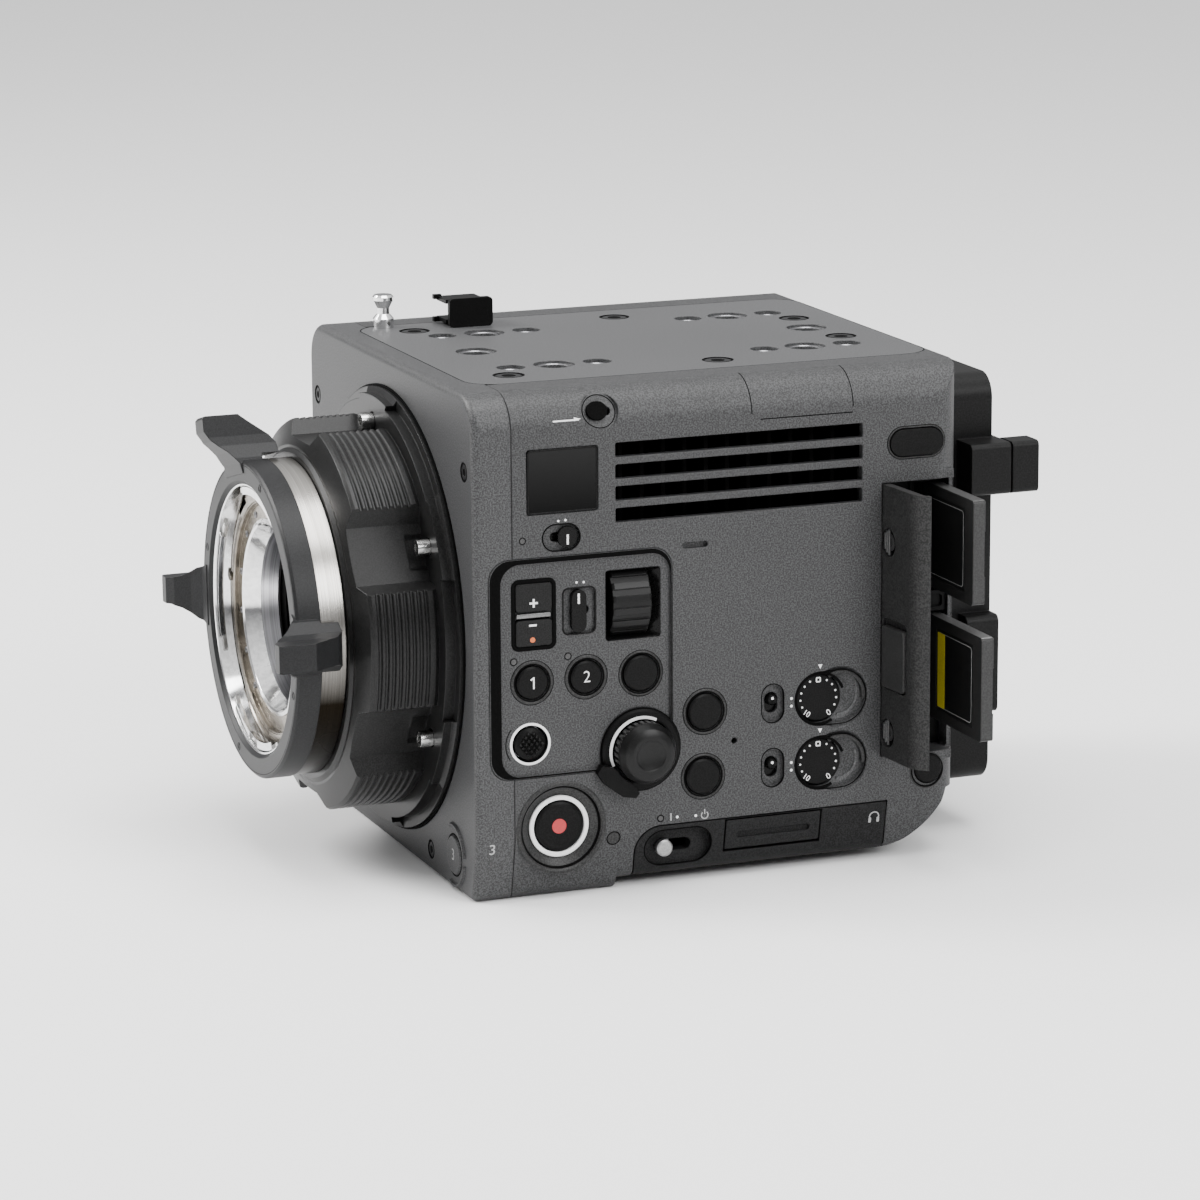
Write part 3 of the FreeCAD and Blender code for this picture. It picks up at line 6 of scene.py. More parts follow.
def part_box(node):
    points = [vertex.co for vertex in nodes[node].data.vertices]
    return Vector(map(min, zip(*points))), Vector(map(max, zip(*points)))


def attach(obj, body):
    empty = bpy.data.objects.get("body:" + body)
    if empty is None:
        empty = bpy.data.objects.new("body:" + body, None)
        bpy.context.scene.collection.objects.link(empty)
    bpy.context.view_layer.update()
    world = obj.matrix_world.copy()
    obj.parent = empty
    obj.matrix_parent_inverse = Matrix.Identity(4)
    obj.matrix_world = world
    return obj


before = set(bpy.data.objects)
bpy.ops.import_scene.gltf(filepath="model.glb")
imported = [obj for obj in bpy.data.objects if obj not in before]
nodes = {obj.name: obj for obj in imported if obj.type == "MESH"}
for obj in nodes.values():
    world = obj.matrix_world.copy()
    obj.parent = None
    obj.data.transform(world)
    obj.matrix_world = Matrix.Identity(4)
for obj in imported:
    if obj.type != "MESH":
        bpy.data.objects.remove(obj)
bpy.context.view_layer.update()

mm = 0.001
frontFace = -0.060      # the body's front face, along y
sideFace = 0.0717       # the operator side, along x
panelDepth = 0.0008
topFace = 0.1425
shoulderRadius = 0.0105
lockAngle = 27          # of the lock switch, up the shoulder
skirtTop = 0.0177       # below it the side leans inwards
skirtLean = 3.6
lensCentre = Vector((0, frontFace, 0.0702))
ringFront = 0.0423      # the ring cap, the lens seat and the cards, from the front face
flangeFront = 0.0364
cardFront = 0.1395
doorHinge = Vector((0.0706, frontFace + 0.1229, 0))
doorOpen = 85
wayOfY = Matrix.Rotation(math.pi / 2, 4, "X")
sideStand = Matrix.Rotation(math.pi / 2, 4, "Z") @ wayOfY

# Flat work is drawn lying down in millimetres and then stood on one of these faces.
# On the sides it is drawn as (y from the front face, z), on the top as (x, y from the front face).
faces = {
    "side": Matrix.Translation((sideFace, frontFace, 0)) @ sideStand,
    "panel": Matrix.Translation((sideFace - panelDepth, frontFace, 0)) @ sideStand,
    "skirt": Matrix.Translation((sideFace, frontFace, skirtTop))
    @ Matrix.Rotation(math.atan(skirtLean * mm / skirtTop), 4, "Y") @ sideStand,
    "shoulder": Matrix.Translation((sideFace - shoulderRadius, frontFace, topFace - shoulderRadius))
    @ Matrix.Rotation(math.radians(-lockAngle), 4, "Y")
    @ Matrix.Translation((shoulderRadius, 0, 0)) @ sideStand,
    "corner": Matrix.Translation((sideFace - shoulderRadius, frontFace, topFace - shoulderRadius)) @ wayOfY,
    "top": Matrix.Translation((0, frontFace, topFace)),
    "front": Matrix.Translation((0, frontFace, 0)) @ wayOfY,
    "far": Matrix.Translation((-sideFace, frontFace, 0)) @ Matrix.Rotation(-math.pi / 2, 4, "Z") @ wayOfY,
    "ring": Matrix.Translation((0, frontFace - ringFront, lensCentre.z)) @ wayOfY,
    "flange": Matrix.Translation((0, frontFace - flangeFront, lensCentre.z)) @ wayOfY,
    "card": Matrix.Translation((0, frontFace + cardFront, 0)) @ wayOfY,
    "door": Matrix.Translation(doorHinge) @ Matrix.Rotation(math.radians(-doorOpen), 4, "Z")
    @ Matrix.Translation(-doorHinge) @ Matrix.Translation((sideFace, frontFace, 0)) @ sideStand,
}


def middle(node):
    low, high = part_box(node)
    return (Vector(low) + Vector(high)) / 2


def spotOf(node):
    # the middle of a side control, as it is drawn on the side
    centre = middle(node)
    return (centre.y - frontFace) / mm, centre.z / mm


# camera

cameraValues = {"place": (1.25576, -0.48127, 0.37294), "azimuth": 68.856, "elevation": 12.825,
                "roll": 0.375, "lens": 142.07}


def addCamera(values):
    bpy.ops.object.camera_add(location=values["place"])
    camera = bpy.context.object
    camera.name = "mainCamera"
    turn = Matrix.Rotation(math.radians(values["azimuth"]), 4, "Z")
    tilt = Matrix.Rotation(math.radians(90 - values["elevation"]), 4, "X")
    roll = Matrix.Rotation(math.radians(-values["roll"]), 4, "Z")
    camera.matrix_world = Matrix.Translation(values["place"]) @ turn @ tilt @ roll
    camera.data.lens = values["lens"]
    camera.data.sensor_width = 36.0
    camera.data.clip_end = 20.0
    bpy.context.scene.camera = camera


def pickNothing():
    if bpy.context.object and bpy.context.object.mode != "OBJECT":
        bpy.ops.object.mode_set(mode="OBJECT")
    bpy.ops.object.select_all(action="DESELECT")


# light and floor

studioValues = {
    "floorSize": 8.0,
    "floorColour": (0.86, 0.86, 0.86, 1.0),
    "skyLow": (0.12, 0.12, 0.125, 1.0),
    "skyHigh": (1.0, 1.0, 1.0, 1.0),
    "skyStrength": 1.45,
    "lamps": [
        # name, place, size, power, colour
        ("keyLamp", (-0.6, -1.15, 1.1), 0.6, 34.0, (1.0, 0.99, 0.98)),
        ("topLamp", (0.25, 0.1, 1.6), 1.2, 32.0, (1.0, 1.0, 1.0)),
        ("sideLamp", (1.3, 0.6, 0.95), 0.8, 19.0, (1.0, 1.0, 1.0)),
        ("lensLamp", (-1.0, -0.95, 0.8), 0.6, 5.0, (1.0, 1.0, 1.0)),
    ],
}


def addStudio(values):
    pickNothing()
    bpy.ops.mesh.primitive_plane_add(size=values["floorSize"], location=(0, 0, 0))
    floor = bpy.context.object
    floor.name = "studioFloor"
    material = bpy.data.materials.new("floorPaper")
    material.use_nodes = True
    shader = material.node_tree.nodes["Principled BSDF"]
    shader.inputs["Base Color"].default_value = values["floorColour"]
    shader.inputs["Roughness"].default_value = 0.9
    floor.data.materials.append(material)
    world = bpy.data.worlds.new("studioSky")
    bpy.context.scene.world = world
    world.use_nodes = True
    # bright overhead and dim at the horizon, as under a large soft box
    tree = world.node_tree
    sky = tree.nodes["Background"]
    sky.inputs["Strength"].default_value = values["skyStrength"]
    way = tree.nodes.new("ShaderNodeTexCoord")
    parts = tree.nodes.new("ShaderNodeSeparateXYZ")
    tree.links.new(way.outputs["Generated"], parts.inputs["Vector"])
    ramp = addRamp(tree, parts.outputs["Z"], values["skyLow"], values["skyHigh"], 0.0, 0.95)
    tree.links.new(ramp.outputs["Color"], sky.inputs["Color"])
    for name, place, size, power, colour in values["lamps"]:
        bpy.ops.object.light_add(type="AREA", location=place)
        lamp = bpy.context.object
        lamp.name = name
        lamp.data.shape = "DISK"
        lamp.data.size = size
        lamp.data.energy = power
        lamp.data.color = colour
        aim = Vector((0, 0, 0.07)) - Vector(place)
        lamp.rotation_euler = aim.to_track_quat("-Z", "Y").to_euler()


# materials

def startMaterial(name):
    material = bpy.data.materials.new(name)
    material.use_nodes = True
    tree = material.node_tree
    return material, tree, tree.nodes["Principled BSDF"]


def addNoise(tree, scale, detail, stretch=(1, 1, 1)):
    place = tree.nodes.new("ShaderNodeTexCoord")
    mapping = tree.nodes.new("ShaderNodeMapping")
    mapping.inputs["Scale"].default_value = stretch
    noise = tree.nodes.new("ShaderNodeTexNoise")
    noise.inputs["Scale"].default_value = scale
    noise.inputs["Detail"].default_value = detail
    tree.links.new(place.outputs["Object"], mapping.inputs["Vector"])
    tree.links.new(mapping.outputs["Vector"], noise.inputs["Vector"])
    return noise


def addRamp(tree, source, low, high, start=0.3, stop=0.7):
    ramp = tree.nodes.new("ShaderNodeValToRGB")
    ramp.color_ramp.elements[0].position = start
    ramp.color_ramp.elements[1].position = stop
    ramp.color_ramp.elements[0].color = low
    ramp.color_ramp.elements[1].color = high
    tree.links.new(source, ramp.inputs["Fac"])
    return ramp


def mixColours(tree, first, second, way, amount=1.0):
    mix = tree.nodes.new("ShaderNodeMix")
    mix.data_type = "RGBA"
    mix.blend_type = way
    mix.inputs["Factor"].default_value = amount
    tree.links.new(first, mix.inputs["A"])
    tree.links.new(second, mix.inputs["B"])
    return mix


def grey(value, tint=(1, 1, 1)):
    return (value * tint[0], value * tint[1], value * tint[2], 1)


def roughFrom(tree, shader, source, low, high):
    rough = tree.nodes.new("ShaderNodeMapRange")
    rough.inputs["To Min"].default_value = low
    rough.inputs["To Max"].default_value = high
    tree.links.new(source, rough.inputs["Value"])
    tree.links.new(rough.outputs["Result"], shader.inputs["Roughness"])


def surfaceFrom(tree, shader, source, strength, depth, edgeSize):
    # grain height over softened edges
    edge = tree.nodes.new("ShaderNodeBevel")
    edge.samples = 4
    edge.inputs["Radius"].default_value = edgeSize * mm
    bump = tree.nodes.new("ShaderNodeBump")
    bump.inputs["Strength"].default_value = strength
    bump.inputs["Distance"].default_value = depth * mm
    tree.links.new(source, bump.inputs["Height"])
    tree.links.new(edge.outputs["Normal"], bump.inputs["Normal"])
    tree.links.new(bump.outputs["Normal"], shader.inputs["Normal"])


def grainMaterial(name, values):
    # paint or plastic with a fine grain, slow tone changes and softened edges
    material, tree, shader = startMaterial(name)
    tint = values.get("tint", (1, 1, 1))
    fine = addNoise(tree, values["grainScale"], 2)
    slow = addNoise(tree, 14, 2)
    speck = addRamp(tree, fine.outputs["Fac"], grey(values["dark"], tint), grey(values["light"], tint),
                    0.38, 0.64)
    tone = addRamp(tree, slow.outputs["Fac"], grey(0.90), grey(1.0), 0.3, 0.7)
    mix = mixColours(tree, speck.outputs["Color"], tone.outputs["Color"], "MULTIPLY")
    tree.links.new(mix.outputs["Result"], shader.inputs["Base Color"])
    roughFrom(tree, shader, fine.outputs["Fac"], values["rough"] - 0.05, values["rough"] + 0.08)
    shader.inputs["Metallic"].default_value = values.get("metal", 0.0)
    shader.inputs["Specular IOR Level"].default_value = values.get("gloss", 0.5)
    surfaceFrom(tree, shader, fine.outputs["Fac"], values["bump"], values.get("depth", 0.05),
                values.get("edge", 0.3))
    return material


def reachAlong(tree, axis, start, stop):
    # 0 to 1 between two places along an axis
    place = tree.nodes.new("ShaderNodeTexCoord")
    parts = tree.nodes.new("ShaderNodeSeparateXYZ")
    reach = tree.nodes.new("ShaderNodeMapRange")
    reach.inputs["From Min"].default_value = start * mm
    reach.inputs["From Max"].default_value = stop * mm
    tree.links.new(place.outputs["Object"], parts.inputs["Vector"])
    tree.links.new(parts.outputs[axis], reach.inputs["Value"])
    return reach.outputs["Result"]


def turnedMetal(name, values):
    # metal cut on a lathe: fine rings, and optionally a colour multiplied in along an axis: a painted
    # reflection on the lock ring, darker below where it mirrors the table, and the darker tone of the screws
    # on the body
    material, tree, shader = startMaterial(name)
    rings = addNoise(tree, values["ringScale"], 2, values["stretch"])
    slow = addNoise(tree, 60, 2)
    colour = addRamp(tree, rings.outputs["Fac"], values["dark"], values["light"], 0.35, 0.65)
    result = colour.outputs["Color"]
    if "paintedLightAndTone" in values:
        reach = reachAlong(tree, values.get("paintedLightAndToneAxis", "Z"), *values["paintedLightAndTone"])
        shade = addRamp(tree, reach, values["paintedLightAndToneColour"], (1, 1, 1, 1), 0.0, 1.0)
        result = mixColours(tree, result, shade.outputs["Color"], "MULTIPLY").outputs["Result"]
    tree.links.new(result, shader.inputs["Base Color"])
    roughFrom(tree, shader, slow.outputs["Fac"], values["rough"] - 0.06, values["rough"] + 0.06)
    shader.inputs["Metallic"].default_value = 1.0
    surfaceFrom(tree, shader, rings.outputs["Fac"], values["bump"], 0.02, 0.15)
    return material


def glossPlate(name, values):
    # deep black gloss with a painted sheen, paler towards its top edge
    material, tree, shader = startMaterial(name)
    reach = reachAlong(tree, "Z", *values["paintedLightAndTone"])
    shade = addRamp(tree, reach, grey(values["dark"]), grey(values["light"]), 0.1, 1.0)
    smear = addNoise(tree, 90, 2)
    tree.links.new(shade.outputs["Color"], shader.inputs["Base Color"])
    roughFrom(tree, shader, smear.outputs["Fac"], 0.05, 0.13)
    shader.inputs["Specular IOR Level"].default_value = 0.06
    return material


finishValues = {
    "bodyPaint": {"dark": 0.0125, "light": 0.054, "tint": (0.98, 0.99, 1.02), "rough": 0.5,
                  "grainScale": 2300, "bump": 0.5, "depth": 0.08, "edge": 0.5, "gloss": 0.35},
    # a paler copy of the body paint: painted light on the top plate, and on the lit lower wall of the level
    # dials' finger dishes
    "litTopPaint": {"dark": 0.028, "light": 0.08, "tint": (0.98, 0.99, 1.02), "rough": 0.46, "grainScale": 2400,
                 "bump": 0.35, "depth": 0.06, "edge": 0.4},
    "frontPaint": {"dark": 0.016, "light": 0.062, "tint": (0.98, 0.99, 1.02), "rough": 0.46,
                   "grainScale": 2300, "bump": 0.45, "depth": 0.08, "edge": 0.8, "gloss": 0.35},
    # darker paint of the rims and dishes round the controls; on the upper wall of the level dials' finger
    # dishes it is painted shade
    "dishPaint": {"dark": 0.01, "light": 0.032, "rough": 0.42, "grainScale": 2300, "bump": 0.4, "depth": 0.06,
                  "edge": 0.4, "gloss": 0.25},
    # a darker copy of the body paint: painted shade on the lower cover and the SD door, whose faces lean
    # downwards
    "shadedSkirtPaint": {"dark": 0.003, "light": 0.015, "tint": (0.98, 0.99, 1.02), "rough": 0.5,
                   "grainScale": 2300, "bump": 0.5, "depth": 0.08, "edge": 0.5, "gloss": 0.15},
    "blackPlastic": {"dark": 0.002, "light": 0.005, "rough": 0.4, "grainScale": 3000, "bump": 0.18,
                     "edge": 0.3, "gloss": 0.08},
    "glossBlack": {"dark": 0.002, "light": 0.005, "rough": 0.2, "grainScale": 2000, "bump": 0.05, "edge": 0.3,
                   "gloss": 0.1},
    "keyPlastic": {"dark": 0.008, "light": 0.016, "rough": 0.42, "grainScale": 2600, "bump": 0.2, "edge": 0.5,
                   "gloss": 0.1},
    "capPlastic": {"dark": 0.003, "light": 0.007, "rough": 0.38, "grainScale": 2600, "bump": 0.15,
                   "edge": 0.4, "gloss": 0.08},
    "doorPlastic": {"dark": 0.01, "light": 0.033, "rough": 0.48, "grainScale": 1900, "bump": 0.4,
                    "depth": 0.06, "edge": 0.4, "gloss": 0.2},
    "doorGrip": {"dark": 0.016, "light": 0.032, "rough": 0.45, "grainScale": 2300, "bump": 0.3, "edge": 0.5,
                 "gloss": 0.35},
    "rearPlastic": {"dark": 0.003, "light": 0.008, "rough": 0.42, "grainScale": 2100, "bump": 0.3,
                    "edge": 0.5, "gloss": 0.12},
    "blackAnodised": {"dark": 0.005, "light": 0.014, "rough": 0.3, "grainScale": 2400, "bump": 0.3,
                      "edge": 0.35, "gloss": 0.18},
    "ringBlack": {"dark": 0.008, "light": 0.016, "tint": (0.98, 0.99, 1.04), "rough": 0.4, "grainScale": 2600,
                  "bump": 0.15, "edge": 0.4, "gloss": 0.18},
    "knobBlack": {"dark": 0.002, "light": 0.005, "rough": 0.34, "grainScale": 3000, "bump": 0.15, "edge": 0.4,
                  "gloss": 0.2},
    "wheelRubber": {"dark": 0.002, "light": 0.005, "rough": 0.36, "grainScale": 2600, "bump": 0.2,
                    "edge": 0.3, "gloss": 0.2},
    "innerBlack": {"dark": 0.001, "light": 0.0025, "rough": 0.7, "grainScale": 1800, "bump": 0.1, "edge": 0.1,
                   "gloss": 0.04},
    "boardGreen": {"dark": 0.012, "light": 0.03, "tint": (0.4, 1.6, 0.8), "rough": 0.45, "grainScale": 900,
                   "bump": 0.1},
    "cardBlack": {"dark": 0.007, "light": 0.013, "rough": 0.36, "grainScale": 2600, "bump": 0.15,
                  "edge": 0.25, "gloss": 0.15},
    "cardEdge": {"dark": 0.012, "light": 0.024, "rough": 0.4, "grainScale": 2200, "bump": 0.15, "edge": 0.2,
                 "gloss": 0.25},
    "cardEnd": {"dark": 0.016, "light": 0.03, "rough": 0.42, "grainScale": 2200, "bump": 0.15, "edge": 0.1,
                "gloss": 0.3},
    "lampGlass": {"dark": 0.012, "light": 0.03, "rough": 0.16, "grainScale": 800, "bump": 0.02, "edge": 0.1},
    "sensorGlass": {"dark": 0.01, "light": 0.02, "tint": (0.6, 1.2, 1.2), "rough": 0.08, "grainScale": 500,
                    "bump": 0.0},
    "softAlloy": {"dark": 0.30, "light": 0.40, "rough": 0.4, "grainScale": 2200, "bump": 0.1, "metal": 1.0},
    "barAlloy": {"dark": 0.14, "light": 0.2, "rough": 0.34, "grainScale": 2200, "bump": 0.1, "metal": 0.8},
    "contactBrass": {"dark": 0.42, "light": 0.52, "tint": (1.0, 0.78, 0.38), "rough": 0.28,
                     "grainScale": 1500, "bump": 0.08, "metal": 1.0},
}
# printed marks: dark, light, tint, roughness and grain
printValues = {
    "whitePrint": (0.78, 0.92, (1, 1, 1), 0.5, 4000), "palePrint": (0.3, 0.38, (1, 1, 1), 0.5, 4000),
    "redPrint": (0.38, 0.46, (1.0, 0.06, 0.07), 0.45, 4000),
    "amberPrint": (0.5, 0.62, (1.0, 0.22, 0.05), 0.5, 4000),
    "yellowPrint": (0.55, 0.66, (1.0, 0.84, 0.02), 0.45, 3000),
}
for name, (dark, light, tint, rough, grain) in printValues.items():
    finishValues[name] = {"dark": dark, "light": light, "tint": tint, "rough": rough, "grainScale": grain,
                          "bump": 0.05, "edge": 0.02}
metalValues = {
    # painted reflection: the lock ring's steel multiplied darker below, where it mirrors the table
    "bandSteel": {"dark": (0.30, 0.288, 0.268, 1), "light": (0.42, 0.405, 0.38, 1), "rough": 0.27,
                  "ringScale": 900, "stretch": (0.02, 3.0, 0.02), "bump": 0.25, "paintedLightAndTone": (54, 82),
                  "paintedLightAndToneColour": (0.02, 0.016, 0.011, 1)},
    "flangeSteel": {"dark": (0.20, 0.18, 0.15, 1), "light": (0.34, 0.31, 0.27, 1), "rough": 0.25,
                    "ringScale": 500, "stretch": (0.6, 0.6, 0.6), "bump": 0.1},
    "mountSteel": {"dark": (0.5, 0.49, 0.47, 1), "light": (0.72, 0.71, 0.69, 1), "rough": 0.2,
                   "ringScale": 500, "stretch": (0.6, 0.6, 0.6), "bump": 0.1},
    "screwSteel": {"dark": (0.5, 0.5, 0.49, 1), "light": (0.7, 0.7, 0.69, 1), "rough": 0.22,
                   "ringScale": 1200, "stretch": (1, 1, 1), "bump": 0.1},
    # bright in front of the body's face, greyer on the body
    "capScrews": {"dark": (0.5, 0.5, 0.49, 1), "light": (0.74, 0.74, 0.73, 1), "rough": 0.22,
                  "ringScale": 1200, "stretch": (1, 1, 1), "bump": 0.1, "paintedLightAndTone": (-60.2, -61.4),
                  "paintedLightAndToneAxis": "Y", "paintedLightAndToneColour": (0.3, 0.3, 0.31, 1)},
    "polishedChrome": {"dark": (0.74, 0.74, 0.74, 1), "light": (0.88, 0.88, 0.88, 1), "rough": 0.12,
                       "ringScale": 700, "stretch": (1, 1, 1), "bump": 0.03},
    "satinSteel": {"dark": (0.16, 0.16, 0.17, 1), "light": (0.26, 0.26, 0.27, 1), "rough": 0.3,
                   "ringScale": 800, "stretch": (0.02, 3.0, 0.02), "bump": 0.15},
}
finishes = {name: grainMaterial(name, values) for name, values in finishValues.items()}
finishes.update({name: turnedMetal(name, values) for name, values in metalValues.items()})
# the badge plate with a painted sheen, paler towards its top
finishes["badgeGloss"] = glossPlate("badgeGloss", {"paintedLightAndTone": (108.0, 128.5), "dark": 0.001, "light": 0.014})

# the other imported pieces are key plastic
finishUsers = {
    "bodyPaint": "operator_panel outer_side_panel control_panel", "shadedSkirtPaint": "lower_cover sd_door",
    "frontPaint": "front_frame button_3", "litTopPaint": "top_plate", "capScrews": "cap_screws",
    "rearPlastic": "base_plate rear_housing release_button", "contactBrass": "battery_contacts",
    "blackPlastic": "battery_plate bay_liner dial_collar cable_clamp", "boardGreen": "circuit_boards",
    "innerBlack": "chassis sensor_carrier heat_sink fan card_sockets lock_switch",
    "sensorGlass": "filter_plate image_sensor", "screwSteel": "side_sockets dial_shaft",
    "mountSteel": "body_mount", "blackAnodised": "adapter_body", "flangeSteel": "lens_flange",
    "bandSteel": "lock_ring", "ringBlack": "ring_cap", "knobBlack": "menu_dial", "wheelRubber": "filter_dial",
    "satinSteel": "stick_gimbal stick_plate", "doorPlastic": "media_door", "doorGrip": "door_grip",
    "cardEdge": "media_card_1 media_card_2", "softAlloy": "power_switch", "polishedChrome": "tape_hook",
    "glossBlack": "mode_switch focus_switch auto_switch_1 auto_switch_2",
    "capPlastic": "joystick record_button level_dial_1 level_dial_2 button_1 button_2 display_button "
                  "menu_button back_button clips_button slot_button",
}
nodeFinish = {node: finish for finish, users in finishUsers.items() for node in users.split()}


def finishNodes():
    for name, node in nodes.items():
        finish = finishes[nodeFinish.get(name, "keyPlastic")]
        node.data.materials.clear()
        node.data.materials.append(finish)


# modelling helpers

def at(spot, high):
    return Vector((spot[0] * mm, spot[1] * mm, high * mm))


def polar(radius, degrees):
    return radius * math.cos(math.radians(degrees)), radius * math.sin(math.radians(degrees))


def applyPlace():
    bpy.ops.object.transform_apply(location=True, rotation=True, scale=True)


def openPiece():
    applyPlace()
    bpy.ops.object.mode_set(mode="EDIT")
    bpy.ops.mesh.select_all(action="SELECT")


def pull(move):
    bpy.ops.mesh.extrude_region_move(TRANSFORM_OT_translate={"value": move})


def finishPiece(piece, name, body, finish, bevel=0.0):
    piece.name = name
    piece.data.name = name
    if bevel > 0:
        rounding = piece.modifiers.new("rounding", "BEVEL")
        rounding.width = bevel * mm
        rounding.segments = 2
        rounding.angle_limit = math.radians(35)
        bpy.ops.object.modifier_apply(modifier="rounding")
    applyPlace()
    bpy.ops.object.shade_smooth_by_angle(angle=math.radians(35))
    piece.data.materials.clear()
    piece.data.materials.append(finishes[finish])
    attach(piece, body)
    return piece


def copyPiece(piece, name, body, change):
    pickNothing()
    piece.select_set(True)
    bpy.context.view_layer.objects.active = piece
    bpy.ops.object.duplicate()
    copy = bpy.context.object
    copy.matrix_world = change
    applyPlace()
    copy.name = name
    copy.data.name = name
    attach(copy, body)
    return copy


def aboutLens(degrees):
    # a turn round the lens axis, from the operator side upwards
    turn = Matrix.Rotation(math.radians(-degrees), 4, "Y")
    return Matrix.Translation(lensCentre) @ turn @ Matrix.Translation(-lensCentre)


def turnedPiece(name, body, finish, axis, centre, outline, sides=64, closed=False):
    # rings extruded along an axis; the outline lists (radius, place along the axis) in millimetres,
    # and a closed one runs back to its start
    pickNothing()
    if closed:
        outline = outline + outline[:1]
    way = {"x": Vector((1, 0, 0)), "y": Vector((0, 1, 0)), "z": Vector((0, 0, 1))}[axis]
    turn = {"x": (0, math.pi / 2, 0), "y": (-math.pi / 2, 0, 0), "z": (0, 0, 0)}[axis]
    start = Vector(centre) + way * outline[0][1] * mm
    bpy.ops.mesh.primitive_circle_add(vertices=sides, radius=outline[0][0] * mm, location=start,
                                      rotation=turn)
    piece = bpy.context.object
    openPiece()
    if not closed:
        bpy.ops.mesh.edge_face_add()
    lastRadius, lastPlace = outline[0]
    for radius, place in outline[1:]:
        pull(way * (place - lastPlace) * mm)
        grow = radius / lastRadius
        scale = [1.0 if way[i] else grow for i in range(3)]
        bpy.ops.transform.resize(value=scale, center_override=Vector(centre) + way * place * mm)
        lastRadius, lastPlace = radius, place
    closeUp()
    return finishPiece(piece, name, body, finish)


def closeUp():
    bpy.ops.mesh.select_all(action="SELECT")
    bpy.ops.mesh.remove_doubles(threshold=0.000001)
    bpy.ops.mesh.normals_make_consistent(inside=False)
    bpy.ops.object.mode_set(mode="OBJECT")


def standOn(piece, face, name, body, finish, bevel=0.0):
    piece.matrix_world = faces[face] @ piece.matrix_world
    return finishPiece(piece, name, body, finish, bevel)


def raiseFlat(low, high):
    bpy.ops.mesh.select_all(action="SELECT")
    pull((0, 0, (high - low) * mm))
    closeUp()


def startPlate(spot, size, radius, low, turn=0.0):
    # a plane with round corners, left in edit mode
    pickNothing()
    bpy.ops.mesh.primitive_plane_add(size=1, location=at(spot, low), rotation=(0, 0, turn))
    piece = bpy.context.object
    piece.scale = (size[0] * mm, size[1] * mm, 1)
    openPiece()
    if radius > 0:
        bpy.ops.mesh.bevel(offset=min(radius, min(size) * 0.499) * mm, segments=8, affect="VERTICES")
        bpy.ops.mesh.select_all(action="SELECT")
    return piece


def platePiece(name, body, finish, face, spot, size, radius, low, high, band=0.0, turn=0.0, bevel=0.0):
    # a plate with round corners, or with a band width only its rim
    piece = startPlate(spot, size, radius, low, turn)
    if band > 0:
        bpy.ops.mesh.inset(thickness=band * mm)
        bpy.ops.mesh.delete(type="FACE")
    raiseFlat(low, high)
    return standOn(piece, face, name, body, finish, bevel)


def slopePiece(name, body, finish, face, outer, inner, radius, high, low, thick=0.25):
    # a frame that falls from the outer to the inner rectangle, each (left, bottom, right, top)
    spot = ((outer[0] + outer[2]) / 2, (outer[1] + outer[3]) / 2)
    size = (outer[2] - outer[0], outer[3] - outer[1])
    piece = startPlate(spot, size, radius, high)
    bpy.ops.mesh.inset(thickness=0.05 * mm)
    scale = ((inner[2] - inner[0]) / (size[0] - 0.1), (inner[3] - inner[1]) / (size[1] - 0.1), 1)
    bpy.ops.transform.resize(value=scale, center_override=at(spot, high))
    aside = ((inner[0] + inner[2]) / 2 - spot[0], (inner[1] + inner[3]) / 2 - spot[1])
    bpy.ops.transform.translate(value=at(aside, low - high))
    bpy.ops.mesh.delete(type="FACE")
    bpy.ops.mesh.select_all(action="SELECT")
    pull((0, 0, -thick * mm))
    closeUp()
    return standOn(piece, face, name, body, finish)


def arcPiece(name, body, finish, face, spot, inner, outer, low, high, start=0.0, stop=360.0, sides=72):
    # a flat ring, or its part between two angles
    pickNothing()
    centre = at(spot, low)
    bpy.ops.mesh.primitive_circle_add(vertices=sides, radius=inner * mm, location=centre)
    piece = bpy.context.object
    openPiece()
    pull((0, 0, 0))
    bpy.ops.transform.resize(value=(outer / inner, outer / inner, 1), center_override=centre)
    if stop - start < 360:
        bpy.ops.mesh.select_all(action="DESELECT")
        bpy.ops.object.mode_set(mode="OBJECT")
        for point in piece.data.vertices:
            angle = math.degrees(math.atan2(point.co.y - centre.y, point.co.x - centre.x))
            point.select = (angle - start + 0.01) % 360 > stop - start + 0.02
        bpy.ops.object.mode_set(mode="EDIT")
        bpy.ops.mesh.delete(type="VERT")
    raiseFlat(low, high)
    return standOn(piece, face, name, body, finish)


def dotsPiece(name, body, finish, face, spots, radius, low, high, sides=16, turn=0.0, scale=(1, 1)):
    # one small disc or polygon, repeated at each spot
    pickNothing()
    bpy.ops.mesh.primitive_circle_add(vertices=sides, radius=radius * mm, fill_type="NGON",
                                      location=at(spots[0], low), rotation=(0, 0, turn))
    piece = bpy.context.object
    piece.scale = (scale[0], scale[1], 1)
    openPiece()
    last = spots[0]
    for spot in spots[1:]:
        move = at((spot[0] - last[0], spot[1] - last[1]), 0)
        bpy.ops.mesh.duplicate_move(TRANSFORM_OT_translate={"value": move})
        last = spot
    raiseFlat(low, high)
    return standOn(piece, face, name, body, finish)


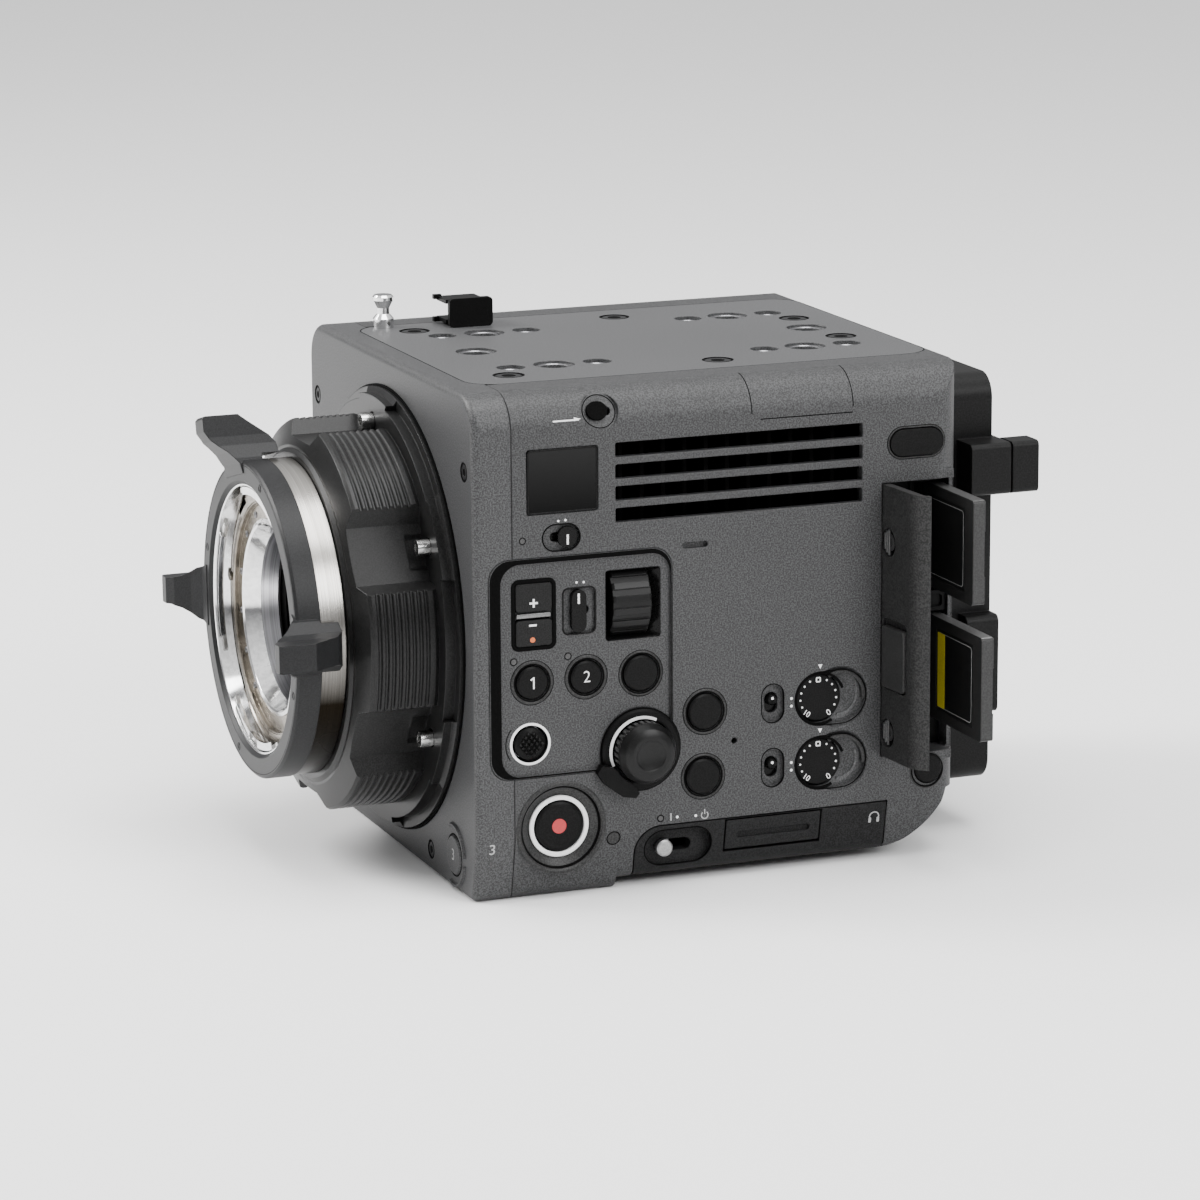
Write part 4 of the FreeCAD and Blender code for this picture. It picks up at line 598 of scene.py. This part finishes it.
def textPiece(name, body, finish, face, spot, text, size, high, turn=0.0, bold=0.0):
    pickNothing()
    bpy.ops.object.text_add(location=(0, 0, 0))
    piece = bpy.context.object
    piece.data.body = text
    piece.data.size = size * mm
    piece.data.align_x = "CENTER"
    piece.data.align_y = "CENTER"
    piece.data.extrude = 0.02 * mm
    piece.data.offset = bold * mm
    bpy.ops.object.convert(target="MESH")
    piece = bpy.context.object
    piece.matrix_world = Matrix.Translation(at(spot, high)) @ Matrix.Rotation(turn, 4, "Z")
    return standOn(piece, face, name, body, finish)


def mergePieces(name, pieces, body, finish):
    pickNothing()
    for piece in pieces:
        piece.select_set(True)
    bpy.context.view_layer.objects.active = pieces[0]
    bpy.ops.object.join()
    return finishPiece(bpy.context.object, name, body, finish)


def socketScrew(name, body, finish, face, spot, radius, low, high):
    # a cap screw head with its socket
    pickNothing()
    bpy.ops.mesh.primitive_circle_add(vertices=24, radius=radius * mm, fill_type="NGON",
                                      location=at(spot, low))
    piece = bpy.context.object
    openPiece()
    rise = (high - low) * mm
    pull((0, 0, rise * 0.8))
    pull((0, 0, rise * 0.2))
    bpy.ops.transform.resize(value=(0.9, 0.9, 1), center_override=at(spot, high))
    bpy.ops.mesh.inset(thickness=radius * 0.38 * mm)
    pull((0, 0, -rise * 0.7))
    closeUp()
    return standOn(piece, face, name, body, finish)


def addLamp(label, number, face, spot, inner, outer, high):
    arcPiece(label + "Rim" + number, "camera", "capPlastic", face, spot, inner, outer, -0.2, high, sides=32)
    dotsPiece(label + number, "camera", "lampGlass", face, [spot], inner, -0.2, high - 0.03, 24)


# sunk control panel

panelValues = {
    "outer": (4.45, 35.45, 57.85, 97.1), "inner": (7.5, 35.8, 57.55, 95.8),
    "keyFrame": (17.45, 81.35), "keyFrameSize": (13.1, 20.1), "keyBand": 1.1,
    "modeFrame": (30.8, 81.3), "modeFrameSize": (10.0, 13.4),
    "window": (38.65, 71.95, 54.85, 91.75), "wheelGap": (40.15, 72.8, 52.1, 90.9),
    "lamps": [(11.5, 68.5), (27.4, 68.7)],
}


def addPanel(values):
    # painted shade: a near-black band over the sloping rim of the sunk panel
    slopePiece("panelSlopeShade", "camera", "innerBlack", "side", values["outer"], values["inner"], 6.0,
               0.06, 0.03)
    platePiece("keyFrame", "camera", "innerBlack", "panel", values["keyFrame"], values["keyFrameSize"], 2.2,
               -0.3, 0.22, band=values["keyBand"], bevel=0.08)
    platePiece("keyDivider", "camera", "barAlloy", "panel", (17.45, 81.05), (10.0, 1.2), 0.3,
               -0.9, 0.12, bevel=0.15)
    plus = [platePiece("plusBar", "plus_button", "whitePrint", "panel", (17.4, 84.6), (2.4, 0.55), 0,
                       0.28, 0.34),
            platePiece("plusPost", "plus_button", "whitePrint", "panel", (17.4, 84.6), (0.55, 2.4), 0,
                       0.285, 0.345)]
    mergePieces("plusMark", plus, "plus_button", "whitePrint")
    platePiece("minusMark", "minus_button", "whitePrint", "panel", (17.1, 78.4), (2.2, 0.55), 0, 0.28, 0.34)
    dotsPiece("clearDot", "minus_button", "amberPrint", "panel", [(17.0, 74.3)], 0.75, 0.28, 0.36)
    platePiece("modeFrame", "camera", "glossBlack", "panel", values["modeFrame"], values["modeFrameSize"],
               1.9, -0.3, 0.14, band=0.42)
    platePiece("modeBar", "mode_switch", "whitePrint", "panel", (30.35, 84.9), (0.6, 2.9), 0.1, 0.95, 1.04)
    dotsPiece("modeDots", "camera", "whitePrint", "panel", [(30.1, 89.3), (32.2, 89.2)], 0.33, -0.05, 0.05)
    slopePiece("windowSlope", "camera", "glossBlack", "panel", values["window"], values["wheelGap"], 0.9,
               0.12, -2.9)
    for i, spot in enumerate(values["lamps"]):
        addLamp("panelLamp", str(i), "panel", spot, 0.8, 1.1, 0.08)


stickValues = {"spot": (16.1, 44.9), "ring": (5.3, 5.98), "edge": (5.2, 5.29), "line": (7.0, 7.3),
               "pitch": 1.55, "reach": 3.55}


def addStick(values):
    spot = values["spot"]
    arcPiece("stickRing", "camera", "whitePrint", "panel", spot, *values["ring"], -0.3, 0.12)
    arcPiece("stickEdge", "camera", "blackPlastic", "panel", spot, *values["edge"], -0.3, 0.02)
    # painted shade: a dark crescent outside the ring, on the front side of the joystick
    arcPiece("stickShade", "camera", "blackPlastic", "panel", spot, *values["line"], -0.2, 0.04, 140, 215)
    # a cap of small pyramids in a diamond pattern
    spots = []
    step = values["pitch"]
    for row in range(-4, 5):
        for column in range(-4, 5):
            across = (column + 0.5 * (row % 2)) * step
            up = row * step * 0.62
            if math.hypot(across, up) < values["reach"]:
                spots.append((across, up))
    pickNothing()
    bpy.ops.mesh.primitive_cone_add(vertices=4, radius1=0.82 * mm, radius2=0.1 * mm, depth=0.75 * mm,
                                    location=at((spot[0] + spots[0][0], spot[1] + spots[0][1]), 1.0))
    piece = bpy.context.object
    openPiece()
    last = spots[0]
    for place in spots[1:]:
        sink = 0.035 * ((last[0] ** 2 + last[1] ** 2) - (place[0] ** 2 + place[1] ** 2))
        move = at((place[0] - last[0], place[1] - last[1]), sink)
        bpy.ops.mesh.duplicate_move(TRANSFORM_OT_translate={"value": move})
        last = place
    closeUp()
    standOn(piece, "panel", "stickPyramids", "joystick", "knobBlack")


# push buttons

buttonValues = {
    # node: face and radii of the rim round it
    "button_1": ("panel", 4.98, 6.2), "button_2": ("panel", 4.98, 6.2),
    "display_button": ("panel", 5.48, 6.45),
    "menu_button": ("side", 5.48, 6.55), "back_button": ("side", 5.48, 6.55),
    "slot_button": ("side", 4.58, 5.4),
}
numberSize = 4.7


def addButtons(values):
    for node, (face, inner, outer) in values.items():
        centre = middle(node)
        centre.x = sideFace - (panelDepth if face == "panel" else 0.0)
        turnedPiece(node + "Rim", "camera", "dishPaint", "x", centre, [
            (inner, -0.3), (outer, -0.3), (outer, 0.05), (outer - 0.35, 0.24), (inner + 0.45, 0.16),
            (inner, -0.1)], 64, closed=True)
        if node != "slot_button":
            arcPiece(node + "Line", "camera", "innerBlack", face, spotOf(node), outer + 0.02, outer + 0.2,
                     -0.2, 0.03)
        arcPiece(node + "Shadow", "camera", "innerBlack", face, spotOf(node), inner - 0.02, inner + 0.42,
                 -0.2, 0.2)
    textPiece("numberTwo", "button_2", "whitePrint", "panel", spotOf("button_2"), "2", numberSize, 0.74,
              bold=-0.06)
    y, z = spotOf("button_1")
    one = [platePiece("onePost", "button_1", "whitePrint", "panel", (y + 0.25, z), (0.44, 3.3), 0,
                      0.71, 0.76),
           platePiece("oneFlag", "button_1", "whitePrint", "panel", (y - 0.2, z + 1.18), (1.05, 0.38), 0,
                      0.712, 0.758, turn=math.radians(38))]
    mergePieces("numberOne", one, "button_1", "whitePrint")
    centre = middle("button_3")
    across, up = centre.x / mm, centre.z / mm
    textPiece("numberThree", "button_3", "palePrint", "front", (across, up), "3", numberSize, 0.54)
    arcPiece("button_3Line", "camera", "innerBlack", "front", (across, up), 5.75, 6.15, -0.2, 0.05)
    textPiece("sideThree", "camera", "palePrint", "skirt", (4.5, -1.9), "3", 4.4, 0.03)


recordValues = {"rim": 13.2, "white": (7.5, 8.75), "dot": 2.1}


def addRecord(values):
    centre = middle("record_button")
    centre.x = sideFace
    rim = values["rim"]
    turnedPiece("recordRim", "camera", "dishPaint", "x", centre, [
        (rim - 1.5, -0.9), (rim + 0.1, -0.4), (rim + 0.1, 0.05), (rim - 0.35, 0.32), (rim - 0.9, 0.3),
        (rim - 1.35, -0.1)], 96, closed=True)
    turnedPiece("recordLine", "camera", "innerBlack", "x", centre, [
        (rim - 1.95, -1.4), (rim - 1.3, -0.95), (rim - 1.3, -0.3), (rim - 1.95, -0.72)], 96, closed=True)
    turnedPiece("recordDish", "camera", "dishPaint", "x", centre, [
        (8.6, -2.6), (rim - 1.9, -1.6), (rim - 1.9, -0.85), (9.4, -2.2), (8.6, -2.3)], 96, closed=True)
    inner, outer = values["white"]
    turnedPiece("recordRing", "camera", "whitePrint", "x", centre, [
        (inner, -2.6), (outer, -2.6), (outer, -1.75), (outer - 0.2, -1.6), (inner + 0.2, -1.6),
        (inner, -1.75)], 96, closed=True)
    dotsPiece("recordDot", "record_button", "redPrint", "side", [spotOf("record_button")], values["dot"],
              -1.72, -1.6, 40)


# dials

dialValues = {"spot": (48.6, 40.3), "arc": (8.95, 9.7), "arcRange": (62, 204),
              "levelDots": (28, 50, 72, 94, 116)}


def addDials(values):
    spot = values["spot"]
    # painted highlight: a white arc on the dial's base, along its top and front side
    arcPiece("dialGlint", "camera", "whitePrint", "side", spot, *values["arc"], 0.5, 1.05,
             *values["arcRange"], 120)
    centre = middle("menu_dial")
    centre.x = sideFace
    turnedPiece("dialDish", "menu_dial", "knobBlack", "x", centre, [
        (0.5, 7.2), (2.2, 7.3), (3.6, 7.6), (4.6, 7.93), (5.2, 8.03), (5.8, 7.95), (7.38, 7.12), (7.4, 6.9),
        (0.5, 6.9)], 72)
    arcPiece("dialLine", "camera", "innerBlack", "side", spot, 11.62, 11.9, -0.2, 0.04, sides=96)
    for index in (1, 2):
        node = "level_dial_%d" % index
        y, z = spotOf(node)
        dots = [polar(5.5, 90 + way * t) for way in (-1, 1) for t in values["levelDots"]]
        dots = [(y + across, z + up) for across, up in dots]
        dotsPiece("levelDots%d" % index, node, "whitePrint", "side", dots, 0.29, -1.32, -1.24)
        platePiece("levelTop%d" % index, node, "whitePrint", "side", (y, z + 5.2), (1.5, 1.5), 0.3,
                   -1.32, -1.24, band=0.35)
        textPiece("levelZero%d" % index, node, "whitePrint", "side", (y + 3.2, z - 4.6), "0", 2.5, -1.26,
                  math.radians(30))
        textPiece("levelTen%d" % index, node, "whitePrint", "side", (y - 3.6, z - 4.3), "10", 2.3, -1.26,
                  math.radians(-35))
        dotsPiece("levelPointer%d" % index, "camera", "whitePrint", "side", [(y, z + 9.5)], 0.75,
                  -0.1, 0.04, 3, math.pi, (1.0, 1.15))
        platePiece("levelRim%d" % index, "camera", "innerBlack", "side", (y + 3.2, z), (22.2, 15.8), 7.9,
                   -0.3, 0.03, band=0.22)
        # painted shade under the upper wall of the finger dish and on that wall, and painted light on its
        # lower right
        arcPiece("levelShade%d" % index, "camera", "innerBlack", "side", (y, z), 7.0, 7.75, -0.5, -0.1,
                 20, 300)
        arcPiece("levelWallShade%d" % index, "camera", "dishPaint", "side", (y + 6.4, z), 6.6, 7.7, -1.3, -0.25,
                 -10, 120)
        arcPiece("levelLit%d" % index, "camera", "litTopPaint", "side", (y + 6.4, z), 5.2, 7.2, -2.4, -1.9,
                 -95, 25)


# switches, their marks and lamps

switchValues = {
    "focus": (25.45, 102.45), "focusBar": (27.4, 101.7), "focusLamp": (14.1, 102.3),
    "auto": [(1, 49.6), (2, 31.0)], "autoAcross": 88.4,
    "power": (60.15, -6.95), "powerLamp": (54.4, 19.8), "powerSymbol": (67.7, 19.4), "phone": (120.2, -4.6),
    "sensor": (40.4, -2.25), "frontLamp": (4.3, -6.1),
}


def addSwitches(values):
    platePiece("focusRim", "camera", "innerBlack", "side", values["focus"], (11.4, 7.8), 3.9, -0.4, 0.08,
               band=0.35)
    platePiece("focusBar", "focus_switch", "whitePrint", "side", values["focusBar"], (0.55, 2.8), 0.1,
               -0.25, -0.12)
    dotsPiece("focusDots", "camera", "whitePrint", "side", [(24.6, 107.1), (26.7, 107.2)], 0.33, -0.1, 0.04)
    addLamp("focusLamp", "", "side", values["focusLamp"], 0.75, 1.05, 0.06)
    for index, height in values["auto"]:
        node = "auto_switch_%d" % index
        across = values["autoAcross"]
        platePiece("autoRim%d" % index, "camera", "innerBlack", "side", (across, height), (7.1, 11.5), 3.55,
                   -0.4, 0.06, band=0.25)
        dotsPiece("autoDots%d" % index, "camera", "whitePrint", "side",
                  [(across + 5.7, height + 0.9), (across + 5.7, height - 1.3)], 0.4, -0.1, 0.04)
        # painted highlight: a small white dot on each switch knob
        dotsPiece("autoKnobGlint%d" % index, node, "whitePrint", "side", [(spotOf(node)[0], height + 1.4)], 0.4,
                  -0.35, -0.18)
    # lock switch on the shoulder
    arcPiece("lockLine", "camera", "innerBlack", "shoulder", (37.4, 0), 4.62, 4.86, -1.3, -1.1, sides=64)
    arrow = [platePiece("arrowBar", "camera", "whitePrint", "shoulder", (27.2, -2.2), (7.6, 0.4), 0,
                        -0.35, -0.19),
             dotsPiece("arrowHead", "camera", "whitePrint", "shoulder", [(30.2, -2.0)], 1.0, -0.3, -0.1, 3,
                       -math.pi / 2, (0.6, 1.3))]
    mergePieces("lockArrow", arrow, "camera", "whitePrint")
    # power switch and its marks
    platePiece("powerRim", "camera", "innerBlack", "skirt", values["power"], (20.7, 11.2), 5.6, -0.4, 0.08,
               band=0.3)
    addLamp("powerLamp", "", "side", values["powerLamp"], 0.75, 1.1, 0.06)
    platePiece("powerOn", "camera", "palePrint", "side", (57.5, 19.9), (0.35, 2.1), 0, -0.05, 0.04)
    dotsPiece("powerDots", "camera", "whitePrint", "side", [(59.4, 19.7), (65.0, 19.5)], 0.4, -0.05, 0.04)
    y, z = values["powerSymbol"]
    power = [arcPiece("powerArc", "camera", "palePrint", "side", (y, z), 0.85, 1.15, -0.05, 0.04,
                      125, 415, 48),
             platePiece("powerPost", "camera", "palePrint", "side", (y, z + 1.0), (0.3, 1.4), 0,
                        -0.05, 0.041)]
    mergePieces("powerSymbol", power, "camera", "palePrint")
    y, z = values["phone"]
    phones = [arcPiece("phoneArc", "camera", "palePrint", "skirt", (y, z), 1.25, 1.6, -0.05, 0.04,
                       -10, 190, 48)]
    for name, across, high in (("phoneLeft", -1.25, 0.041), ("phoneRight", 1.25, 0.042)):
        phones.append(platePiece(name, "camera", "palePrint", "skirt", (y + across, z - 1.0), (0.8, 1.6), 0.3,
                                 -0.05, high))
    mergePieces("phoneSymbol", phones, "camera", "palePrint")
    # light sensor by the record button, and the front lamp
    arcPiece("sensorRim", "camera", "innerBlack", "skirt", values["sensor"], 1.8, 2.1, -0.2, 0.05, sides=40)
    dotsPiece("sensorWindow", "camera", "dishPaint", "skirt", [values["sensor"]], 1.8, -0.2, 0.02, 32)
    dotsPiece("frontLamp", "camera", "lampGlass", "skirt", [values["frontLamp"]], 0.6, -0.2, 0.04, 20)


# badge place, labels' places and seams

trimValues = {"badge": (25.9, 118.3), "badgeSize": (20.6, 17.9), "clips": (132.0, 121.0)}


def addTrims(values):
    across, high = values["badgeSize"]
    platePiece("badgeRim", "camera", "glossBlack", "side", values["badge"], (across, high), 1.0, -0.55, 0.14,
               band=0.5, bevel=0.08)
    platePiece("badgePlate", "camera", "badgeGloss", "side", values["badge"], (across - 0.9, high - 0.9), 0.7,
               -0.55, 0.02)
    platePiece("clipsRim", "camera", "dishPaint", "side", values["clips"], (17.5, 9.1), 4.55, -0.3, 0.2,
               band=0.4, bevel=0.1)
    platePiece("clipsLine", "camera", "innerBlack", "side", values["clips"], (17.95, 9.55), 4.75, -0.2, 0.04,
               band=0.24)
    # thin seam of the small cover on the shoulder
    platePiece("coverSeamLow", "camera", "innerBlack", "side", (98.5, 130.9), (28.0, 0.3), 0.1, -0.1, 0.02)
    for name, place in (("coverSeamFront", 82.0), ("coverSeamRear", 112.6)):
        arcPiece(name, "camera", "innerBlack", "corner", (0, 0), 10.44, 10.53, -place - 0.14, -place + 0.14,
                 2, 88, 120)


# top plate

topValues = {
    "rows": (27.0, 39.9, 52.9, 104.1, 116.7, 129.8), "across": 28.8,
    "topScrew": [(-40.0, 22.2), (40.0, 22.2), (-40.0, 84.97), (40.0, 84.97), (-17.0, 133.2), (17.0, 133.2)],
    "frontScrew": [(-64.4, 121.2), (64.4, 121.2), (-32.7, 6.6), (32.7, 6.6)],
}


def addTop(values):
    rows = values["rows"]
    big = [(side * values["across"], rows[i]) for i in (1, 4) for side in (-1, 1)]
    big += [(0, rows[0]), (0, rows[5])]
    small = [(side * values["across"], rows[i]) for i in (0, 2, 3, 5) for side in (-1, 1)]
    for label, spots, inner, outer, low in (("big", big, 4.0, 5.85, -0.8), ("small", small, 2.6, 4.05, -1.2)):
        x, y = spots[0]
        first = turnedPiece(label + "Insert", "camera", "satinSteel", "z", faces["top"] @ at((x, y), 0), [
            (inner, low - 4.0), (outer - 0.6, low - 4.0), (outer - 0.6, low), (outer - 0.75, low + 0.22),
            (inner + 0.5, low + 0.22), (inner, low - 0.2)], 48, closed=True)
        for i, spot in enumerate(spots[1:], 1):
            move = Matrix.Translation(at((spot[0] - x, spot[1] - y), 0))
            copyPiece(first, "%sInsert%d" % (label, i), "camera", move)
    for label, face, radius, low in (("topScrew", "top", 3.9, -0.95), ("frontScrew", "front", 2.15, -0.25)):
        for i, spot in enumerate(values[label]):
            socketScrew("%s%d" % (label, i), "camera", "ringBlack", face, spot, radius, low, -0.1)
            arcPiece("%sLine%d" % (label, i), "camera", "innerBlack", face, spot, radius + 0.12,
                     radius + 0.62, -0.12, 0.02, sides=40)
        dotsPiece(label + "Sockets", "camera", "innerBlack", face, values[label], radius * 0.5,
                  -0.3, -0.085, 6)
    platePiece("plateSeam", "camera", "innerBlack", "top", (0, 76.85), (105.0, 139.6), 9.0,
               -0.6, 0.01, band=0.3)


# lens side

lensValues = {
    "tabs": [(150, 200), (236, 258), (270, 292), (326, 372), (60, 104)],
    "ringScrews": (72, 162, 252, 342), "flangeScrews": (20, 62, 118, 140, 166, 188, 210, 232, 300, 338),
}


def addLens(values):
    # bright inner wall of the lock ring with the lens's catches
    turnedPiece("ringWall", "ring", "polishedChrome", "y", lensCentre, [
        (38.0, -41.1), (38.5, -41.3), (38.55, -36.5), (37.0, -36.5)], 120, closed=True)
    for i, (start, stop) in enumerate(values["tabs"]):
        arcPiece("catch%d" % i, "ring", "polishedChrome", "ring", (0, 0), 35.4, 37.6, -2.9, -1.5,
                 start, stop, 180)
        arcPiece("catchStep%d" % i, "ring", "mountSteel", "ring", (0, 0), 36.2, 37.6, -3.4, -2.2,
                 start - 6, stop + 6, 180)
    arcPiece("ringLine", "ring", "innerBlack", "ring", (0, 0), 44.1, 44.25, -0.2, 0.02, sides=144)
    angles = values["ringScrews"]
    first = socketScrew("ringScrew", "ring", "capPlastic", "ring", polar(42.3, angles[0]), 1.25, -0.4, 0.1)
    for i, angle in enumerate(angles[1:], 1):
        copyPiece(first, "ringScrew%d" % i, "ring", aboutLens(angle - angles[0]))
    # seat of the lens: turned face, small screws and polished throat
    turnedPiece("seatRing", "camera", "flangeSteel", "y", lensCentre, [
        (33.2, -36.2), (35.0, -36.2), (35.0, -36.75), (33.4, -36.75)], 120, closed=True)
    turnedPiece("throatEdge", "camera", "polishedChrome", "y", lensCentre, [
        (26.95, -35.3), (28.2, -35.2), (28.2, -35.75), (27.2, -36.0), (26.6, -35.6), (24.9, -31.0),
        (26.45, -31.0), (26.5, -32.5), (26.95, -32.5)], 120, closed=True)
    turnedPiece("throatStep", "camera", "satinSteel", "y", lensCentre, [
        (24.9, -31.0), (23.8, -26.2), (26.45, -26.2), (26.45, -31.0)], 120, closed=True)
    ribs = [(23.9, -26.2)]
    for i in range(11):
        ribs += [(23.2, -25.8 + i * 1.8), (24.1, -25.0 + i * 1.8)]
    turnedPiece("throatRibs", "camera", "blackPlastic", "y", lensCentre, ribs + [
        (24.9, -5.0), (26.45, -5.0), (26.45, -26.2)], 96, closed=True)
    angles = values["flangeScrews"]
    first = socketScrew("seatScrew", "camera", "satinSteel", "flange", polar(30.6, angles[0]), 0.95,
                        -1.4, -0.9)
    for i, angle in enumerate(angles[1:], 1):
        copyPiece(first, "seatScrew%d" % i, "camera", aboutLens(angle - angles[0]))
    # rubber seal behind the adapter
    turnedPiece("adapterSeal", "camera", "innerBlack", "y", lensCentre, [
        (63.2, -0.5), (64.1, -0.5), (64.1, 0.05), (63.2, 0.05)], 144, closed=True)


# door and cards

cardValues = {
    "notches": (93.5, 38.5), "notchBars": [(124.3, 4.6), (125.45, 6.2), (126.6, 7.4)],
    # node, left end, lower edge, finish of the painted sheen on its upper face
    "cards": [("media_card_1", 55.0, 77.6, "barAlloy"), ("media_card_2", 61.2, 39.8, "softAlloy")],
    "cardSize": (38.5, 29.8),
}


def addMedia(values):
    for i, height in enumerate(values["notches"]):
        arcPiece("notchBand%d" % i, "media_door", "doorGrip", "door", (126.9, height), 1.4, 2.4, -0.92, -0.72,
                 -88, 88, 48)
        bars = [platePiece("notchBar%d%d" % (i, k), "media_door", "barAlloy", "door", (across, height),
                           (0.75, tall), 0.2, -0.92, -0.45)
                for k, (across, tall) in enumerate(values["notchBars"])]
        mergePieces("notchBars%d" % i, bars, "media_door", "barAlloy")
        arcPiece("notchShade%d" % i, "media_door", "innerBlack", "door", (126.9, height), 2.5, 4.15,
                 -0.92, -0.86, -88, 88, 48)
    long, wide = values["cardSize"]
    for i, (node, left, low, edge) in enumerate(values["cards"]):
        spot = (left + (9.0 + long - 5.5) / 2, low + wide / 2)
        size = (long - 14.9, wide - 6.4)
        platePiece("cardLabel%d" % i, node, "cardBlack", "card", spot, (size[0] + 0.4, size[1] + 0.3), 0.4,
                   -0.3, -0.11)
        platePiece("cardOutline%d" % i, node, "palePrint", "card", spot, (size[0] - 1.6, size[1] - 1.6), 1.2,
                   -0.2, -0.08, band=0.16)
        # painted sheen on the upper face, paler on the lower card, and the end face
        platePiece("cardTopSheen%d" % i, node, edge, "top", (left + 19.2, 141.4), (37.6, 3.4), 0.3,
                   low + wide - 142.6, low + wide - 142.48)
        platePiece("cardEnd%d" % i, node, "cardEnd", "side", (141.4, low + wide / 2), (3.3, wide - 1.6), 0.3,
                   left + long - 71.8, left + long - 71.69)
        if node == "media_card_2":
            platePiece("cardBand", node, "yellowPrint", "card", (left + 12.2, low + wide / 2), (4.6, 21.6),
                       0.2, -0.2, -0.06)


# rear and far side

otherValues = {
    "baffle": (51.5, 137.0),
    # label, spots, inner and outer radius, sides
    "rims": [("videoRim", [(-22.0, 30.0), (-40.0, 30.0), (-58.0, 30.0)], 6.65, 7.1, 48),
             ("audioRim", [(-88.0, 32.0), (-116.0, 32.0)], 11.35, 11.9, 64)],
}


def addOtherSides(values):
    # closes the slit between the side panel and the rear housing
    platePiece("rearBaffle", "camera", "innerBlack", "front", values["baffle"], (4.4, 6.2), 0.3,
               -146.1, -145.5)
    for label, spots, inner, outer, sides in values["rims"]:
        for i, spot in enumerate(spots):
            arcPiece("%s%d" % (label, i), "camera", "innerBlack", "far", spot, inner, outer,
                     -0.3, 0.04, sides=sides)


print("camera and studio")
addCamera(cameraValues)
addStudio(studioValues)
print("finishes on the packed pieces")
finishNodes()
print("control panel, joystick and buttons")
addPanel(panelValues)
addStick(stickValues)
addButtons(buttonValues)
print("record button, dials and switches")
addRecord(recordValues)
addDials(dialValues)
addSwitches(switchValues)
print("trims, top plate and lens")
addTrims(trimValues)
addTop(topValues)
addLens(lensValues)
print("door, cards and other sides")
addMedia(cardValues)
addOtherSides(otherValues)
